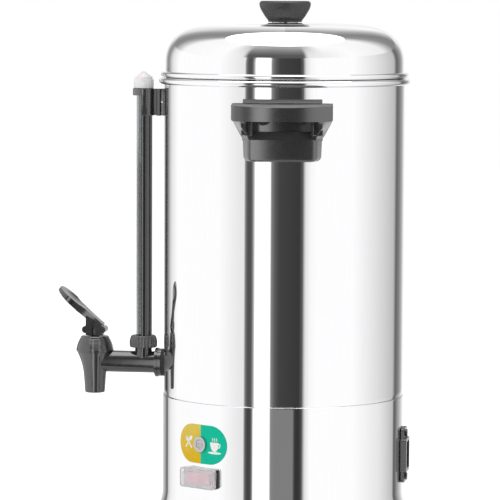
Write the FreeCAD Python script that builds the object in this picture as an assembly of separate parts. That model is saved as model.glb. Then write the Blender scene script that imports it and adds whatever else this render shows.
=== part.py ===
import FreeCAD, Part
import math
import os

# A percolator urn for coffee: a round stainless pot on a base skirt, with a lid, two scoop handles,
# a tap with a sight gauge, a percolator tube with its basket, and the electric parts of the base.
# Everything is in millimetres. Heights are measured from the table. Each side piece is modelled
# facing the tap's side, minus Y, about the urn's axis, and is then turned to its place.

V = FreeCAD.Vector
UP = V(0, 0, 1)

# Fits between pieces
slip = 0.3              # gap between pieces that only rest on each other or move
snug = 0.1              # gap between glued, pressed or screwed pieces
hole_slack = 0.25       # radial clearance of a screw or a shank in its hole
pin_slack = 0.06        # radial clearance of a running pin

# Base skirt and feet
foot_height = 14.0
foot_radius = 12.0
foot_count = 4
foot_inset = 14.6       # centre of a foot inside the skirt's wall
foot_first = 45.0       # degrees from the tap
foot_screw_radius = 2.0
skirt_height = 126.0
skirt_wall = 0.8
skirt_lip = 0.6         # rounding of the skirt's top edge
flare_height = 38.0     # height of the flare's start above the skirt's lower edge
flare_radius = 38.0
flare_turn = 41.0       # degrees that the flare turns outwards
skirt_flange = 10.0     # inward flange under the bottom plate
bottom_plate_thickness = 1.2

# Pot
pot_radius = 110.0
pot_wall = 1.0
pot_height = 290.0      # from the seam at the skirt to the gap under the lid
pot_corner = 8.0
pot_sink = 11.0         # depth of the pot's floor below the seam
joggle_height = 2.5
rim_bead = 3.0          # radius of the rolled rim
rim_overhang = 1.9      # how far the centre of the rolled rim stands out from the wall

# Lid
lid_wall = 0.8
lid_height = 49.6       # top of the flat above the rim gap
lid_flat_inset = 52.0   # width of the dome around the flat, to the pot's wall
lid_flat_step = 1.2
lid_side_inset = 1.0    # the lid's straight side inside the pot's outer wall
lid_side_height = 12.0  # where the dome meets the straight side
lid_power = 2.45        # how square the dome's shoulder is
lid_bead = 2.6
lid_bead_reach = 3.3    # the lid's rolled edge outside the pot's wall
lid_flange_depth = 12.0
lid_flange_gap = 0.8

# Knob
knob_radius = 23.5
knob_neck_radius = 15.4
knob_height = 19.2
knob_collar = 1.3
knob_edge = 3.4         # rounding of the knob's top edge
knob_washer_radius = 12.0
knob_washer_thickness = 0.5
knob_screw_radius = 2.5
knob_screw_depth = 12.0
screw_head_height = 3.0
screw_head_ratio = 1.9  # head radius over shank radius

# Places around the urn, in degrees from the tap
panel_angle = 57.5
handle_angle = 98.0
inlet_angle = 180.0

# Handles
handle_drop = 16.5      # top of the back plate below the rim gap
handle_plate_width = 70.0
handle_plate_height = 53.5
handle_plate_depth = 4.2
handle_corner = 8.0
handle_width = 89.0
handle_reach = 40.0
handle_front_radius = 98.0
lip_drop = 6.1          # top of the lip below the plate's top
lip_height = 12.2
ledge_rise = 2.6        # the ledge is this much higher at the pot than at the lip
handle_wall = 3.0
block_height = 19.0
block_reach = 11.5
recess_floor_rise = 4.0
rib_place = 27.0
rib_wall = 2.0
handle_screw_radius = 2.5
handle_screw_spacing = 34.0
handle_boss_radius = 5.5
handle_washer_thickness = 1.0

# Tap
tap_height = 25.4       # arm's axis above the seam
arm_radius = 10.0
arm_bore = 6.0
shank_radius = 8.0
shank_length = 14.0
tap_gasket_radius = 12.5
tap_gasket_thickness = 3.0
tap_washer_radius = 12.8
tap_washer_thickness = 3.4
tap_flange_radius = 13.5
tap_flange_thickness = 2.4
back_nut_radius = 13.0
back_nut_thickness = 6.0
barrel_reach = 67.0     # axis of the tap's barrel outside the pot's wall
barrel_top_radius = 14.6
barrel_waist_radius = 11.9
barrel_low_radius = 10.0
outlet_radius = 9.2
outlet_bore = 6.5
outlet_drop = 29.2      # outlet below the arm's axis
chamber_radius = 8.8
seat_drop = 10.5        # valve seat below the arm's axis
barrel_neck_radius = 11.6
bonnet_gap = 9.0        # underside of the bonnet above the arm's axis
bonnet_radius = 17.0
bonnet_top_radius = 12.6
bonnet_height = 14.5
bonnet_crown = 3.0
bonnet_band = 2.8       # plain band under the bonnet's ribs
neck_height = 5.0
valve_stem_radius = 3.8
neck_sink = 3.0         # round part of the stem ends this far inside the bonnet, clear of the lobes
plunger_radius = 7.9
plunger_height = 4.5
valve_seal_radius = 7.5
valve_seal_height = 2.5
spring_radius = 6.2
spring_wire = 0.55
spring_turns = 6

# Lever
pin_rise = 8.3          # pivot pin above the bonnet
pin_radius = 1.6
pin_inset = 0.6         # how far the pin's ends lie inside the lever's cheeks
tongue_width = 5.0
lever_block_width = 13.0
lever_block_length = 15.0
lever_block_top = 7.0
lever_block_bottom = 8.0
block_corner = 2.0      # rounding of the block's lower edges
block_slope = 3.5       # rise and fall of the block's top about its middle
lobe_radius = 3.4
lobe_place = 7.7
lobe_drop = 2.4
slot_room = 2.2         # room of the lever's slot around the stem, for its turn
blade_angle = 40.5
blade_length = 53.0
blade_width = 24.0
blade_root_width = 11.0
blade_thickness = 6.4
blade_root_place = 8.4  # root of the blade behind the pin
blade_sink = 7.8        # root of the blade below the block's top edge
blade_dish = 1.6

# Sight gauge
gauge_reach = 21.2      # axis of the gauge tube outside the pot's wall
tube_radius = 6.5
tube_wall = 1.6
guard_wall = 1.1
guard_half_angle = 95.0
collar_radius = 7.8
collar_flare = 1.8      # how much wider the collar starts at the arm
collar_rise = 15.3      # collar's top above the arm's axis
tube_seat_depth = 6.0
gauge_seal_height = 2.6
gauge_nut_radius = 12.9
gauge_nut_top_radius = 10.6
gauge_nut_height = 11.0
nut_overlap = 1.5
bracket_top_drop = 11.4  # top of the bracket below the rim gap
bracket_height = 25.0
bracket_ring_height = 6.5
bracket_ring_reach = 10.2
bracket_tab_width = 8.0
bracket_wall = 1.2
bracket_arm_width = 12.0
bracket_screw_radius = 2.0
bracket_screw_depth = 9.0
cap_radius = 9.1
cap_height = 15.2
cap_cylinder_height = 10.2
cap_cone_radius = 8.1
cap_inside = 8.0
tube_into_cap = 6.0

# Percolator
pump_radius = 6.0
pump_wall = 0.8
pump_top_drop = 16.0    # top of the pump tube below the rim gap
pump_foot_radius = 32.0
pump_foot_height = 22.0
pump_foot_wall = 0.8
pump_collar_radius = 9.5
pump_collar_height = 3.0
basket_inset = 26.0     # basket's wall inside the pot's outer wall
basket_height = 74.0
basket_wall = 0.8
basket_place = 34.0     # top of the basket below the rim gap
basket_sleeve_wall = 0.7
basket_rim = 3.0
basket_hole_radius = 1.5
basket_hole_rings = 4
basket_hole_pitch = 16.0
cover_thickness = 0.8
cover_hole_radius = 2.0
cover_grip_radius = 11.0
cover_grip_height = 6.0

# Heating and electric parts
heater_radius = 28.0
heater_height = 16.0
element_radius = 3.4
element_inset = 38.0
element_sweep = 320.0
terminal_radius = 2.4
terminal_length = 14.0
thermostat_radius = 10.0
thermostat_height = 9.0
cutout_radius = 8.0
stud_radius = 2.5
stud_inset = 18.0
stud_count = 3
stud_first = 90.0       # degrees from the tap
nut_height = 4.0
nut_radius = 4.6
terminal_block_length = 44.0
terminal_block_width = 18.0
terminal_block_height = 14.0
terminal_block_place = 42.0
earth_stud_length = 12.0
lead_radius = 1.1
lead_gap = 0.5          # end of a lead from its terminal
terminal_hole_radius = 2.2
terminal_count = 4
terminal_angle = 150.0
earth_angle = -60.0
heater_terminal_place = 14.0
element_first = 110.0
blade_spacing = 9.0
terminal_hole_floor = 4.0

# Label, lamp and rocker
label_drop = 36.5       # centre of label and lamp below the seam
label_width = 56.4
label_height = 35.0
label_thickness = 0.5
bezel_radius = 7.0
bezel_height = 1.8
lamp_radius = 4.5
lamp_bulge = 1.6
lamp_hole = 5.0
lamp_depth = 16.0
lamp_nut_radius = 8.0
lamp_nut_thickness = 3.0
switch_drop = 67.0
switch_width = 40.0
switch_height = 17.5
switch_corner = 2.5
switch_flange = 1.4
switch_body_width = 30.0
switch_body_height = 12.0
switch_depth = 20.0
rocker_width = 26.0
rocker_height = 9.0
rocker_thickness = 3.0
rocker_tilt = 6.0
rocker_pivot_radius = 1.2
rocker_lift = 0.6       # how far the pressed end stays above the frame
splash_wall = 0.8
splash_height = 4.6

# Mains inlet
inlet_drop = 54.0
inlet_ear_height = 50.0
inlet_ear_width = 22.0
inlet_ear_thickness = 3.0
inlet_face_height = 31.0
inlet_face_width = 25.0
inlet_face_reach = 5.2
inlet_corner = 3.0
inlet_screw_spacing = 40.0
inlet_screw_radius = 1.7
inlet_cavity_height = 25.0
inlet_cavity_width = 17.5
inlet_cavity_depth = 17.0
inlet_body_wall = 1.8
inlet_back_wall = 3.0
inlet_pin_width = 2.0
inlet_pin_height = 4.0
inlet_pin_length = 14.0
inlet_pin_spacing = 7.0
inlet_pin_offset = 4.0
tab_thickness = 0.8
tab_width = 4.0
tab_length = 8.0
inlet_screw_length = 10.0
inlet_nut_radius = 3.2
inlet_nut_thickness = 2.4

# Levels and radii that follow
seam_z = foot_height + skirt_height
rim_z = seam_z + pot_height
pot_inner = pot_radius - pot_wall
skirt_radius = pot_radius + 0.6
skirt_inner = skirt_radius - skirt_wall
foot_circle = skirt_radius - foot_inset
lid_flat_radius = pot_radius - lid_flat_inset
lid_side_radius = pot_radius - lid_side_inset
lid_bead_radius = pot_radius + lid_bead_reach
basket_radius = pot_radius - basket_inset
element_circle = pot_radius - element_inset
stud_circle = pot_radius - stud_inset
thermostat_place = (heater_radius + element_circle - element_radius) / 2
barrel_place = pot_radius + barrel_reach
gauge_place = pot_radius + gauge_reach
pot_low_radius = skirt_inner - slip
pot_low_inner = pot_low_radius - pot_wall
floor_z = seam_z - pot_sink
floor_top = floor_z + pot_wall
flare_start_z = foot_height + flare_height
flare_angle = math.radians(flare_turn)
flare_out = flare_radius * (1 - math.cos(flare_angle))
skirt_foot_radius = skirt_radius + flare_out
plate_z = foot_height + skirt_wall
plate_top = plate_z + bottom_plate_thickness
lid_flange_radius = pot_inner - lid_flange_gap
lid_top_z = rim_z + lid_height
arm_z = seam_z + tap_height
bonnet_z = arm_z + bonnet_gap
bonnet_top = bonnet_z + bonnet_height
seat_z = arm_z - seat_drop
pin_z = bonnet_top + pin_rise
cover_z = rim_z - basket_place
basket_z = cover_z - basket_height
label_z = seam_z - label_drop
switch_z = seam_z - switch_drop
inlet_z = seam_z - inlet_drop


def point(place):
    return V(place[0], 0, place[1])


def outline(start, *steps):
    """A closed wire in the XZ plane. A step is a point for a line, a pair of points for an arc
    through the first to the second, or a list of points for a smooth curve through them."""
    here = point(start)
    edges = []
    for step in steps:
        if isinstance(step, list):
            curve = Part.BSplineCurve()
            curve.interpolate([here] + [point(p) for p in step])
            end = point(step[-1])
            edges.append(curve.toShape())
        elif isinstance(step[0], tuple):
            end = point(step[1])
            edges.append(Part.Arc(here, point(step[0]), end).toShape())
        else:
            end = point(step)
            edges.append(Part.LineSegment(here, end).toShape())
        here = end
    if here.distanceToPoint(point(start)) > 1e-6:
        edges.append(Part.LineSegment(here, point(start)).toShape())
    return Part.Wire(edges)


def spun(wire, place=0.0):
    """The solid of revolution of an outline, with its axis this far out on the tap's side."""
    solid = Part.Face(wire).revolve(V(0, 0, 0), UP, 360)
    return solid.translated(V(0, -place, 0))


def disc(radius, bottom, top, place=0.0, x=0.0):
    return Part.makeCylinder(radius, top - bottom, V(x, -place, bottom), UP)


def ring(inner, outer, bottom, top, place=0.0, x=0.0):
    return disc(outer, bottom, top, place, x).cut(disc(inner, bottom - 1, top + 1, place, x))


def rod(radius, near, far, z, x=0.0):
    """A round bar that points outwards, from one distance to another."""
    return Part.makeCylinder(radius, far - near, V(x, -near, z), V(0, -1, 0))


def block(width, near, far, bottom, top, x=0.0):
    return Part.makeBox(width, far - near, top - bottom, V(x - width / 2, -far, bottom))


def prism(wire, near, far):
    """An outline in the XZ plane, pushed outwards from one distance to another."""
    return Part.Face(wire).extrude(V(0, near - far, 0)).translated(V(0, -near, 0))


def side_prism(wire, width):
    """An outline of distance and height, made this wide about the middle plane."""
    solid = Part.Face(wire).extrude(V(0, -width, 0)).translated(V(0, width / 2, 0))
    return solid.rotated(V(0, 0, 0), UP, -90)


def rounded_outline(width, height, corner, middle_z, x=0.0):
    w, h, c = width / 2, height / 2, corner
    b = c * (1 - math.sqrt(0.5))
    low, high, left, right = middle_z - h, middle_z + h, x - w, x + w
    return outline(
        (left + c, low), (right - c, low), ((right - b, low + b), (right, low + c)),
        (right, high - c), ((right - b, high - b), (right - c, high)),
        (left + c, high), ((left + b, high - b), (left, high - c)),
        (left, low + c), ((left + b, low + b), (left + c, low)))


def around(angle, shape):
    """Turn a piece from the tap's side to its place around the urn."""
    return shape.rotated(V(0, 0, 0), UP, angle)


def spread(shape, count, first=0.0):
    """Copies of a piece, evenly spaced around the urn."""
    return [around(first + 360.0 * i / count, shape) for i in range(count)]


def group(shapes):
    return Part.makeCompound(shapes)


def joined(first, *others):
    solid = first
    for other in others:
        solid = solid.fuse(other)
    return solid.removeSplitter()


def cut(solid, *tools):
    for tool in tools:
        solid = solid.cut(tool)
    return solid


def flat_inside(radius):
    """How far out a flat piece of this radius can lie against the pot's inner wall."""
    return math.sqrt(pot_inner ** 2 - radius ** 2) - snug


def quarter(centre, radius, angle):
    """A point on a circle, for the middle and end points of arcs."""
    turn = math.radians(angle)
    return centre[0] + radius * math.cos(turn), centre[1] + radius * math.sin(turn)


def pan_screw(radius, length):
    """A screw that points outwards from the origin, with its head behind the origin."""
    head = rod(radius * screw_head_ratio, -radius, 0, 0)
    return joined(head, rod(radius, -radius / 2, length, 0))


# Base

def flare_arc(radius, wall_radius):
    """Middle and end of the skirt's flare for a wall at this radius."""
    centre = (skirt_radius + flare_radius, flare_start_z)
    turn = flare_turn
    return quarter(centre, radius, 180 + turn / 2), quarter(centre, radius, 180 + turn)


def skirt():
    outer_low = flare_arc(flare_radius, skirt_radius)
    inner_low = flare_arc(flare_radius + skirt_wall, skirt_inner)
    lip = min(skirt_lip, 0.9 * skirt_wall)
    bend = lip * (1 - math.sqrt(0.5))
    foot = skirt_foot_radius
    shell = spun(outline(
        (skirt_inner, seam_z - snug),
        (skirt_radius - lip, seam_z - snug),
        ((skirt_radius - bend, seam_z - snug - bend), (skirt_radius, seam_z - snug - lip)),
        (skirt_radius, flare_start_z), outer_low, (foot, foot_height),
        (foot - skirt_flange, foot_height), (foot - skirt_flange, plate_z),
        (foot - skirt_wall, plate_z), (foot - skirt_wall, inner_low[1][1]),
        inner_low[1], (inner_low[0], (skirt_inner, flare_start_z))))
    near, far = skirt_inner - 20, skirt_radius + 20
    lamp_cut = around(panel_angle, rod(lamp_hole + hole_slack, near, far, label_z))
    switch_cut = around(panel_angle, block(
        switch_body_width + 2 * hole_slack, near, far,
        switch_z - switch_body_height / 2 - hole_slack, switch_z + switch_body_height / 2 + hole_slack))
    inlet_wide = inlet_cavity_width + 2 * inlet_body_wall + 2 * hole_slack
    inlet_tall = inlet_cavity_height + 2 * inlet_body_wall + 2 * hole_slack
    inlet_cut = around(inlet_angle, block(
        inlet_wide, near, far, inlet_z - inlet_tall / 2, inlet_z + inlet_tall / 2))
    screws = [around(inlet_angle, rod(inlet_screw_radius + hole_slack, near, far, inlet_z + side))
              for side in (-inlet_screw_spacing / 2, inlet_screw_spacing / 2)]
    foot_hole = disc(foot_screw_radius + hole_slack, foot_height - 1, plate_z + 1, foot_circle)
    shell = cut(shell, lamp_cut, switch_cut, inlet_cut, *screws)
    return cut(shell, spread(foot_hole, foot_count, foot_first))


def bottom_plate():
    plate = disc(skirt_foot_radius - skirt_wall - slip, plate_z + snug, plate_top)
    foot_hole = disc(foot_screw_radius + hole_slack, plate_z - 1, plate_top + 1, foot_circle)
    stud_hole = disc(stud_radius + hole_slack, plate_z - 1, plate_top + 1, stud_circle)
    earth_hole = disc(foot_screw_radius + hole_slack, plate_z - 1, plate_top + 1, terminal_block_place)
    return cut(plate, *spread(foot_hole, foot_count, foot_first), *spread(stud_hole, stud_count, stud_first),
               around(earth_angle, earth_hole))


def feet():
    bend = foot_radius * 0.12
    hole = foot_screw_radius + hole_slack
    recess = foot_screw_radius * screw_head_ratio + 1
    foot = spun(outline(
        (recess, 0), (foot_radius - bend, 0),
        ((foot_radius - bend * 0.3, bend * 0.3), (foot_radius, bend)),
        (foot_radius * 0.94, foot_height - snug), (hole, foot_height - snug),
        (hole, foot_height * 0.45), (recess, foot_height * 0.45)), foot_circle)
    return group(spread(foot, foot_count, foot_first))


def foot_screws():
    head_top = foot_height * 0.45 - snug
    screw = joined(
        disc(foot_screw_radius * screw_head_ratio, head_top - foot_screw_radius, head_top, foot_circle),
        disc(foot_screw_radius, head_top - 1, plate_top + nut_height + 1, foot_circle))
    return group(spread(screw, foot_count, foot_first))


def foot_nuts():
    nut = ring(foot_screw_radius + snug, nut_radius, plate_top + snug, plate_top + nut_height, foot_circle)
    return group(spread(nut, foot_count, foot_first))


# Pot

def pot():
    bead = (pot_radius + rim_overhang, rim_z - slip - rim_bead)
    meet = math.sqrt(rim_bead ** 2 - rim_overhang ** 2)
    bead_top = (pot_radius, bead[1] + meet)
    bead_low = (pot_radius, bead[1] - meet)
    inner_corner = pot_corner - pot_wall
    bend = pot_corner * (1 - math.sqrt(0.5))
    inner_bend = inner_corner * (1 - math.sqrt(0.5))
    shell = spun(outline(
        (0, floor_z), (pot_low_radius - pot_corner, floor_z),
        ((pot_low_radius - bend, floor_z + bend), (pot_low_radius, floor_z + pot_corner)),
        (pot_low_radius, seam_z - slip), (pot_radius, seam_z + slip), bead_low,
        ((bead[0] + rim_bead, bead[1]), bead_top),
        (pot_inner, bead_top[1]), (pot_inner, seam_z + slip + joggle_height),
        (pot_low_inner, seam_z - slip - joggle_height),
        (pot_low_inner, floor_top + inner_corner),
        ((pot_low_inner - inner_bend, floor_top + inner_bend), (pot_low_inner - inner_corner, floor_top)),
        (0, floor_top)))
    near, far = pot_inner - 20, pot_radius + 20
    tap_hole = rod(shank_radius + hole_slack, near, far, arm_z)
    bracket_hole = rod(bracket_screw_radius + hole_slack, near, far, bracket_screw_z())
    holes = [around(side * handle_angle, rod(handle_screw_radius + hole_slack, near, far, z, x))
             for side in (-1, 1) for x, z in handle_screw_places()]
    return cut(shell, tap_hole, bracket_hole, *holes)


def base_studs():
    stud = disc(stud_radius, foot_height - nut_height * 0.5, floor_z - snug, stud_circle)
    pad = disc(stud_radius * 2, floor_z - 2, floor_z - snug, stud_circle)
    return group(spread(joined(stud, pad), stud_count, stud_first))


def base_nuts():
    nut = ring(stud_radius + snug, nut_radius, plate_top + snug, plate_top + nut_height, stud_circle)
    return group(spread(nut, stud_count, stud_first))


# Lid

def dome(flat, side, top, low, count=14):
    """Points on the dome's shoulder, from the flat's edge to the straight side."""
    points = []
    for i in range(count + 1):
        turn = math.pi / 2 * i / count
        across = math.sin(turn) ** (2 / lid_power)
        rise = math.cos(turn) ** (2 / lid_power)
        points.append((flat + (side - flat) * across, low + (top - low) * rise))
    return points


def lid_shell():
    step_z = lid_top_z - lid_flat_step
    side_z = rim_z + lid_side_height
    outer = dome(lid_flat_radius, lid_side_radius, step_z, side_z)
    inner = dome(lid_flat_radius, lid_side_radius - lid_wall, step_z - lid_wall, side_z)
    inner.reverse()
    bead = (lid_bead_radius - lid_bead, rim_z + lid_bead)
    reach = bead[0] - lid_side_radius
    meet_z = bead[1] + math.sqrt(lid_bead ** 2 - reach ** 2)
    flange_z = rim_z - lid_flange_depth
    flange_inner = lid_flange_radius - lid_wall
    hole = knob_screw_radius + hole_slack
    return spun(outline(
        (hole, lid_top_z), (lid_flat_radius - lid_flat_step, lid_top_z), (lid_flat_radius, step_z),
        outer[1:], (lid_side_radius, meet_z),
        (quarter(bead, lid_bead, 0), quarter(bead, lid_bead, -90)),
        (lid_flange_radius, rim_z), (lid_flange_radius, flange_z), (flange_inner, flange_z),
        (flange_inner, rim_z + lid_bead), (lid_side_radius - lid_wall, rim_z + 2 * lid_bead),
        (lid_side_radius - lid_wall, side_z), inner[1:],
        (lid_flat_radius - lid_flat_step, lid_top_z - lid_wall), (hole, lid_top_z - lid_wall)))


def knob_washer():
    return ring(knob_screw_radius + hole_slack, knob_washer_radius,
                lid_top_z + snug, lid_top_z + knob_washer_thickness)


def knob():
    low = lid_top_z + knob_washer_thickness + snug
    top = low + knob_height
    bore = knob_screw_radius + snug
    neck_top, wide_z = low + knob_collar, top - knob_edge
    out, rise = knob_radius - knob_neck_radius, wide_z - neck_top
    return spun(outline(
        (bore, low), (knob_neck_radius, low), (knob_neck_radius, neck_top),
        [(knob_neck_radius + out * 0.26, neck_top + rise * 0.18),
         (knob_neck_radius + out * 0.53, neck_top + rise * 0.43),
         (knob_neck_radius + out * 0.85, neck_top + rise * 0.68), (knob_radius, wide_z)],
        ((knob_radius - knob_edge * 0.29, top - knob_edge * 0.29), (knob_radius - knob_edge, top)), (0, top),
        (0, low + knob_screw_depth), (bore, low + knob_screw_depth)))


def knob_screw():
    under = lid_top_z - lid_wall - snug
    return joined(disc(knob_screw_radius * screw_head_ratio, under - screw_head_height, under),
                  disc(knob_screw_radius, under - 1, lid_top_z + knob_screw_depth - 1))


# Handles

def handle_screw_places():
    """Sideways place and height of a handle's two screws."""
    z = rim_z - handle_drop - lip_drop - ledge_rise - handle_boss_radius - handle_wall
    half = handle_screw_spacing / 2
    return [(-half, z), (half, z)]


def handle():
    top = rim_z - handle_drop
    low = top - handle_plate_height
    lip_top = top - lip_drop
    lip_low = lip_top - lip_height
    back = pot_radius + snug
    plate_front = back + handle_plate_depth
    front = pot_radius + handle_reach
    half, wide = handle_plate_width / 2, handle_width / 2
    block_top = low + block_height
    bend = handle_corner * (1 - math.sqrt(0.5))

    def face(inset):
        """The handle seen from the front, drawn in by a wall."""
        h, w, c = half - inset, wide - inset, handle_corner - inset
        b = c * (1 - math.sqrt(0.5))
        base = low + inset
        ease = ((h + (w - h) * 0.22, block_top + (lip_low - block_top) * 0.55), (w, lip_low))
        return outline(
            (-h + c, base), (h - c, base), ((h - b, base + b), (h, base + c)), (h, block_top),
            list(ease), (w, lip_top + ledge_rise), (-w, lip_top + ledge_rise), (-w, lip_low),
            [(-ease[0][0], ease[0][1]), (-h, block_top)], (-h, base + c),
            ((-h + b, base + b), (-h + c, base)))

    plan = disc(handle_front_radius, low - 1, top + 1, front - handle_front_radius)
    side = side_prism(outline(
        (0, low), (pot_radius + block_reach, low), (pot_radius + block_reach, block_top),
        (front - handle_wall, lip_low), (front + 1, lip_low), (front + 1, lip_top),
        (back, lip_top + ledge_rise), (0, lip_top + ledge_rise)), 2 * handle_width)
    shape = prism(face(0), 0, front + 5).common(plan).common(side)

    hollow_plan = disc(handle_front_radius - handle_wall, low - 1, top + 1, front - handle_front_radius)
    hollow_side = side_prism(outline(
        (plate_front, block_top + recess_floor_rise), (pot_radius + block_reach, block_top),
        (front + 20, block_top), (front + 20, lip_low),
        (front - handle_wall, lip_low), (front - handle_wall, lip_top - handle_wall),
        (plate_front, lip_top + ledge_rise - handle_wall)), 2 * handle_width)
    behind_lip = prism(face(handle_wall), plate_front, front + 20).common(hollow_side).common(
        joined(hollow_plan, block(2 * handle_width, plate_front, front + 20, low, lip_low)))
    shape = shape.cut(behind_lip)
    plate = prism(rounded_outline(handle_plate_width, handle_plate_height, handle_corner * 0.4,
                                  (top + low) / 2), 0, plate_front + 30)
    plate = plate.common(ring(pot_radius - 5, plate_front, low - 1, top + 1)).common(
        block(2 * half, 0, plate_front + 30, block_top, top))
    shape = joined(shape, plate)
    ribs = [block(rib_wall, back, front, low, top, x).common(side).common(plan).cut(
        block(2 * rib_wall, plate_front + 13, front + 1, low, top, x))
        for x in (-rib_place, rib_place)]
    shape = joined(shape, *ribs)
    bosses = [rod(handle_boss_radius, back, plate_front + 5, z, x) for x, z in handle_screw_places()]
    shape = joined(shape, *bosses)
    shape = shape.cut(disc(back, low - 1, top + 1))
    bores = [rod(handle_screw_radius + snug, pot_inner - 10, plate_front + 3.5, z, x)
             for x, z in handle_screw_places()]
    return cut(shape, *bores)


def handle_seat(x):
    """How far out the pot's inner wall is beside the handle's middle plane, less the washer's edge."""
    return math.sqrt(pot_inner ** 2 - (abs(x) + handle_boss_radius) ** 2) - snug


def handle_washers():
    pieces = []
    for side in (-1, 1):
        for x, z in handle_screw_places():
            seat = handle_seat(x)
            washer = rod(handle_boss_radius, seat - handle_washer_thickness, seat, z, x).cut(
                rod(handle_screw_radius + hole_slack, seat - 5, seat + 5, z, x))
            pieces.append(around(side * handle_angle, washer))
    return group(pieces)


def handle_screws():
    pieces = []
    for side in (-1, 1):
        for x, z in handle_screw_places():
            head = handle_seat(x) - handle_washer_thickness - snug
            length = pot_radius + handle_plate_depth + 3 - head
            screw = pan_screw(handle_screw_radius, length).translated(V(x, -head, z))
            pieces.append(around(side * handle_angle, screw))
    return group(pieces)


# Tap

def tap_flange_place():
    """Distance of the tap body's flange, outside its gasket and washer."""
    return pot_radius + snug + tap_gasket_thickness + tap_washer_thickness + 2 * snug


def tap_body():
    chamber_top = bonnet_z + neck_height
    outlet_z = arm_z - outlet_drop
    flange = tap_flange_place()
    barrel = spun(outline(
        (0, outlet_z), (outlet_radius - 0.6, outlet_z), (outlet_radius, outlet_z + 0.6),
        [(barrel_low_radius, outlet_z + 12), (barrel_waist_radius, arm_z - 3.6),
         (barrel_top_radius, bonnet_z - 4.6), (bonnet_radius - 0.6, bonnet_z - 0.5)],
        (bonnet_radius - 0.6, bonnet_z - snug),
        (barrel_neck_radius, bonnet_z - snug), (barrel_neck_radius, chamber_top), (0, chamber_top)),
        barrel_place)
    arm = rod(arm_radius, flange, barrel_place - 4, arm_z)
    plate = rod(tap_flange_radius, flange, flange + tap_flange_thickness, arm_z)
    shank = rod(shank_radius, pot_inner - shank_length, flange + 1, arm_z)
    collar_top = arm_z + collar_rise
    collar = disc(collar_radius, arm_z, collar_top, gauge_place)
    saddle = Part.makeCone(collar_radius + collar_flare, collar_radius, arm_radius,
                           V(0, -gauge_place, arm_z + 1), UP)
    body = joined(barrel, arm, plate, shank, collar, saddle)
    water = rod(arm_bore, pot_inner - shank_length - 1, barrel_place - 2, arm_z)
    chamber = disc(chamber_radius, seat_z, chamber_top + 1, barrel_place)
    outlet = disc(outlet_bore, outlet_z - 1, seat_z + 1, barrel_place)
    seat = disc(tube_radius + snug, collar_top - tube_seat_depth, collar_top + 1, gauge_place)
    rise = disc(tube_radius - tube_wall, arm_z, collar_top, gauge_place)
    under_bonnet = ring(barrel_neck_radius, bonnet_radius + snug, bonnet_z - snug, chamber_top + 1,
                        barrel_place)
    return cut(body, water, chamber, outlet, seat, rise, under_bonnet)


def tap_gasket():
    near = pot_radius + snug
    return cut(rod(tap_gasket_radius, pot_inner, near + tap_gasket_thickness, arm_z),
               rod(shank_radius + snug, 0, near + 20, arm_z), disc(near, arm_z - 50, arm_z + 50))


def tap_washer():
    near = pot_radius + 2 * snug + tap_gasket_thickness
    return cut(rod(tap_washer_radius, near, near + tap_washer_thickness, arm_z),
               rod(shank_radius + snug, 0, near + 20, arm_z))


def back_nut():
    seat = flat_inside(back_nut_radius)
    hexagon = prism(Part.makePolygon([point(quarter((0, arm_z), back_nut_radius, 60 * i))
                                      for i in range(7)]), seat - back_nut_thickness, seat)
    return hexagon.cut(rod(shank_radius + snug, 0, seat + 5, arm_z))


def bonnet():
    low, top = bonnet_z, bonnet_top
    neck = barrel_neck_radius + snug
    neck_top = bonnet_z + neck_height + snug
    stem = valve_stem_radius + pin_slack
    return spun(outline(
        (neck, low), (bonnet_radius - 0.6, low), (bonnet_radius, low + 0.6), (bonnet_radius, low + bonnet_band),
        (bonnet_top_radius, top - 0.8), (bonnet_top_radius - 0.8, top), (stem, top),
        (stem, top - bonnet_crown), (chamber_radius, top - bonnet_crown), (chamber_radius, neck_top),
        (neck, neck_top)), barrel_place)


def valve_stem():
    low = seat_z + slip + valve_seal_height
    neck_top = bonnet_top - neck_sink
    neck = disc(valve_stem_radius, low, neck_top, barrel_place)
    plunger = disc(plunger_radius, low, low + plunger_height, barrel_place)
    tip = block(tongue_width, barrel_place - valve_stem_radius + 0.4, barrel_place + valve_stem_radius - 0.4,
                neck_top - 0.5, pin_z + pin_radius + 1.6)
    tongue = tip.common(disc(valve_stem_radius, neck_top - 1, pin_z + 10, barrel_place))
    return cut(joined(neck, plunger, tongue), pin_bar(pin_radius + snug, tongue_width))


def pin_bar(radius, half):
    """The lever pin's bar, across the tap."""
    return Part.makeCylinder(radius, 2 * half, V(-half, -barrel_place, pin_z), V(1, 0, 0))


def lever_pin():
    return pin_bar(pin_radius, lever_block_width / 2 - pin_inset)


def valve_seal():
    low = seat_z + slip
    return disc(valve_seal_radius, low, low + valve_seal_height - snug, barrel_place)


def valve_spring():
    low = seat_z + slip + valve_seal_height + plunger_height + slip
    top = bonnet_top - bonnet_crown - slip
    helix = Part.makeHelix((top - low - 2 * spring_wire) / spring_turns, top - low - 2 * spring_wire,
                           spring_radius)
    section = Part.Wire(Part.makeCircle(spring_wire, V(spring_radius, 0, 0), V(0, 1, 0)))
    coil = Part.Wire(helix.Edges).makePipeShell([section], True, True)
    return coil.translated(V(0, -barrel_place, low + spring_wire))


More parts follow.
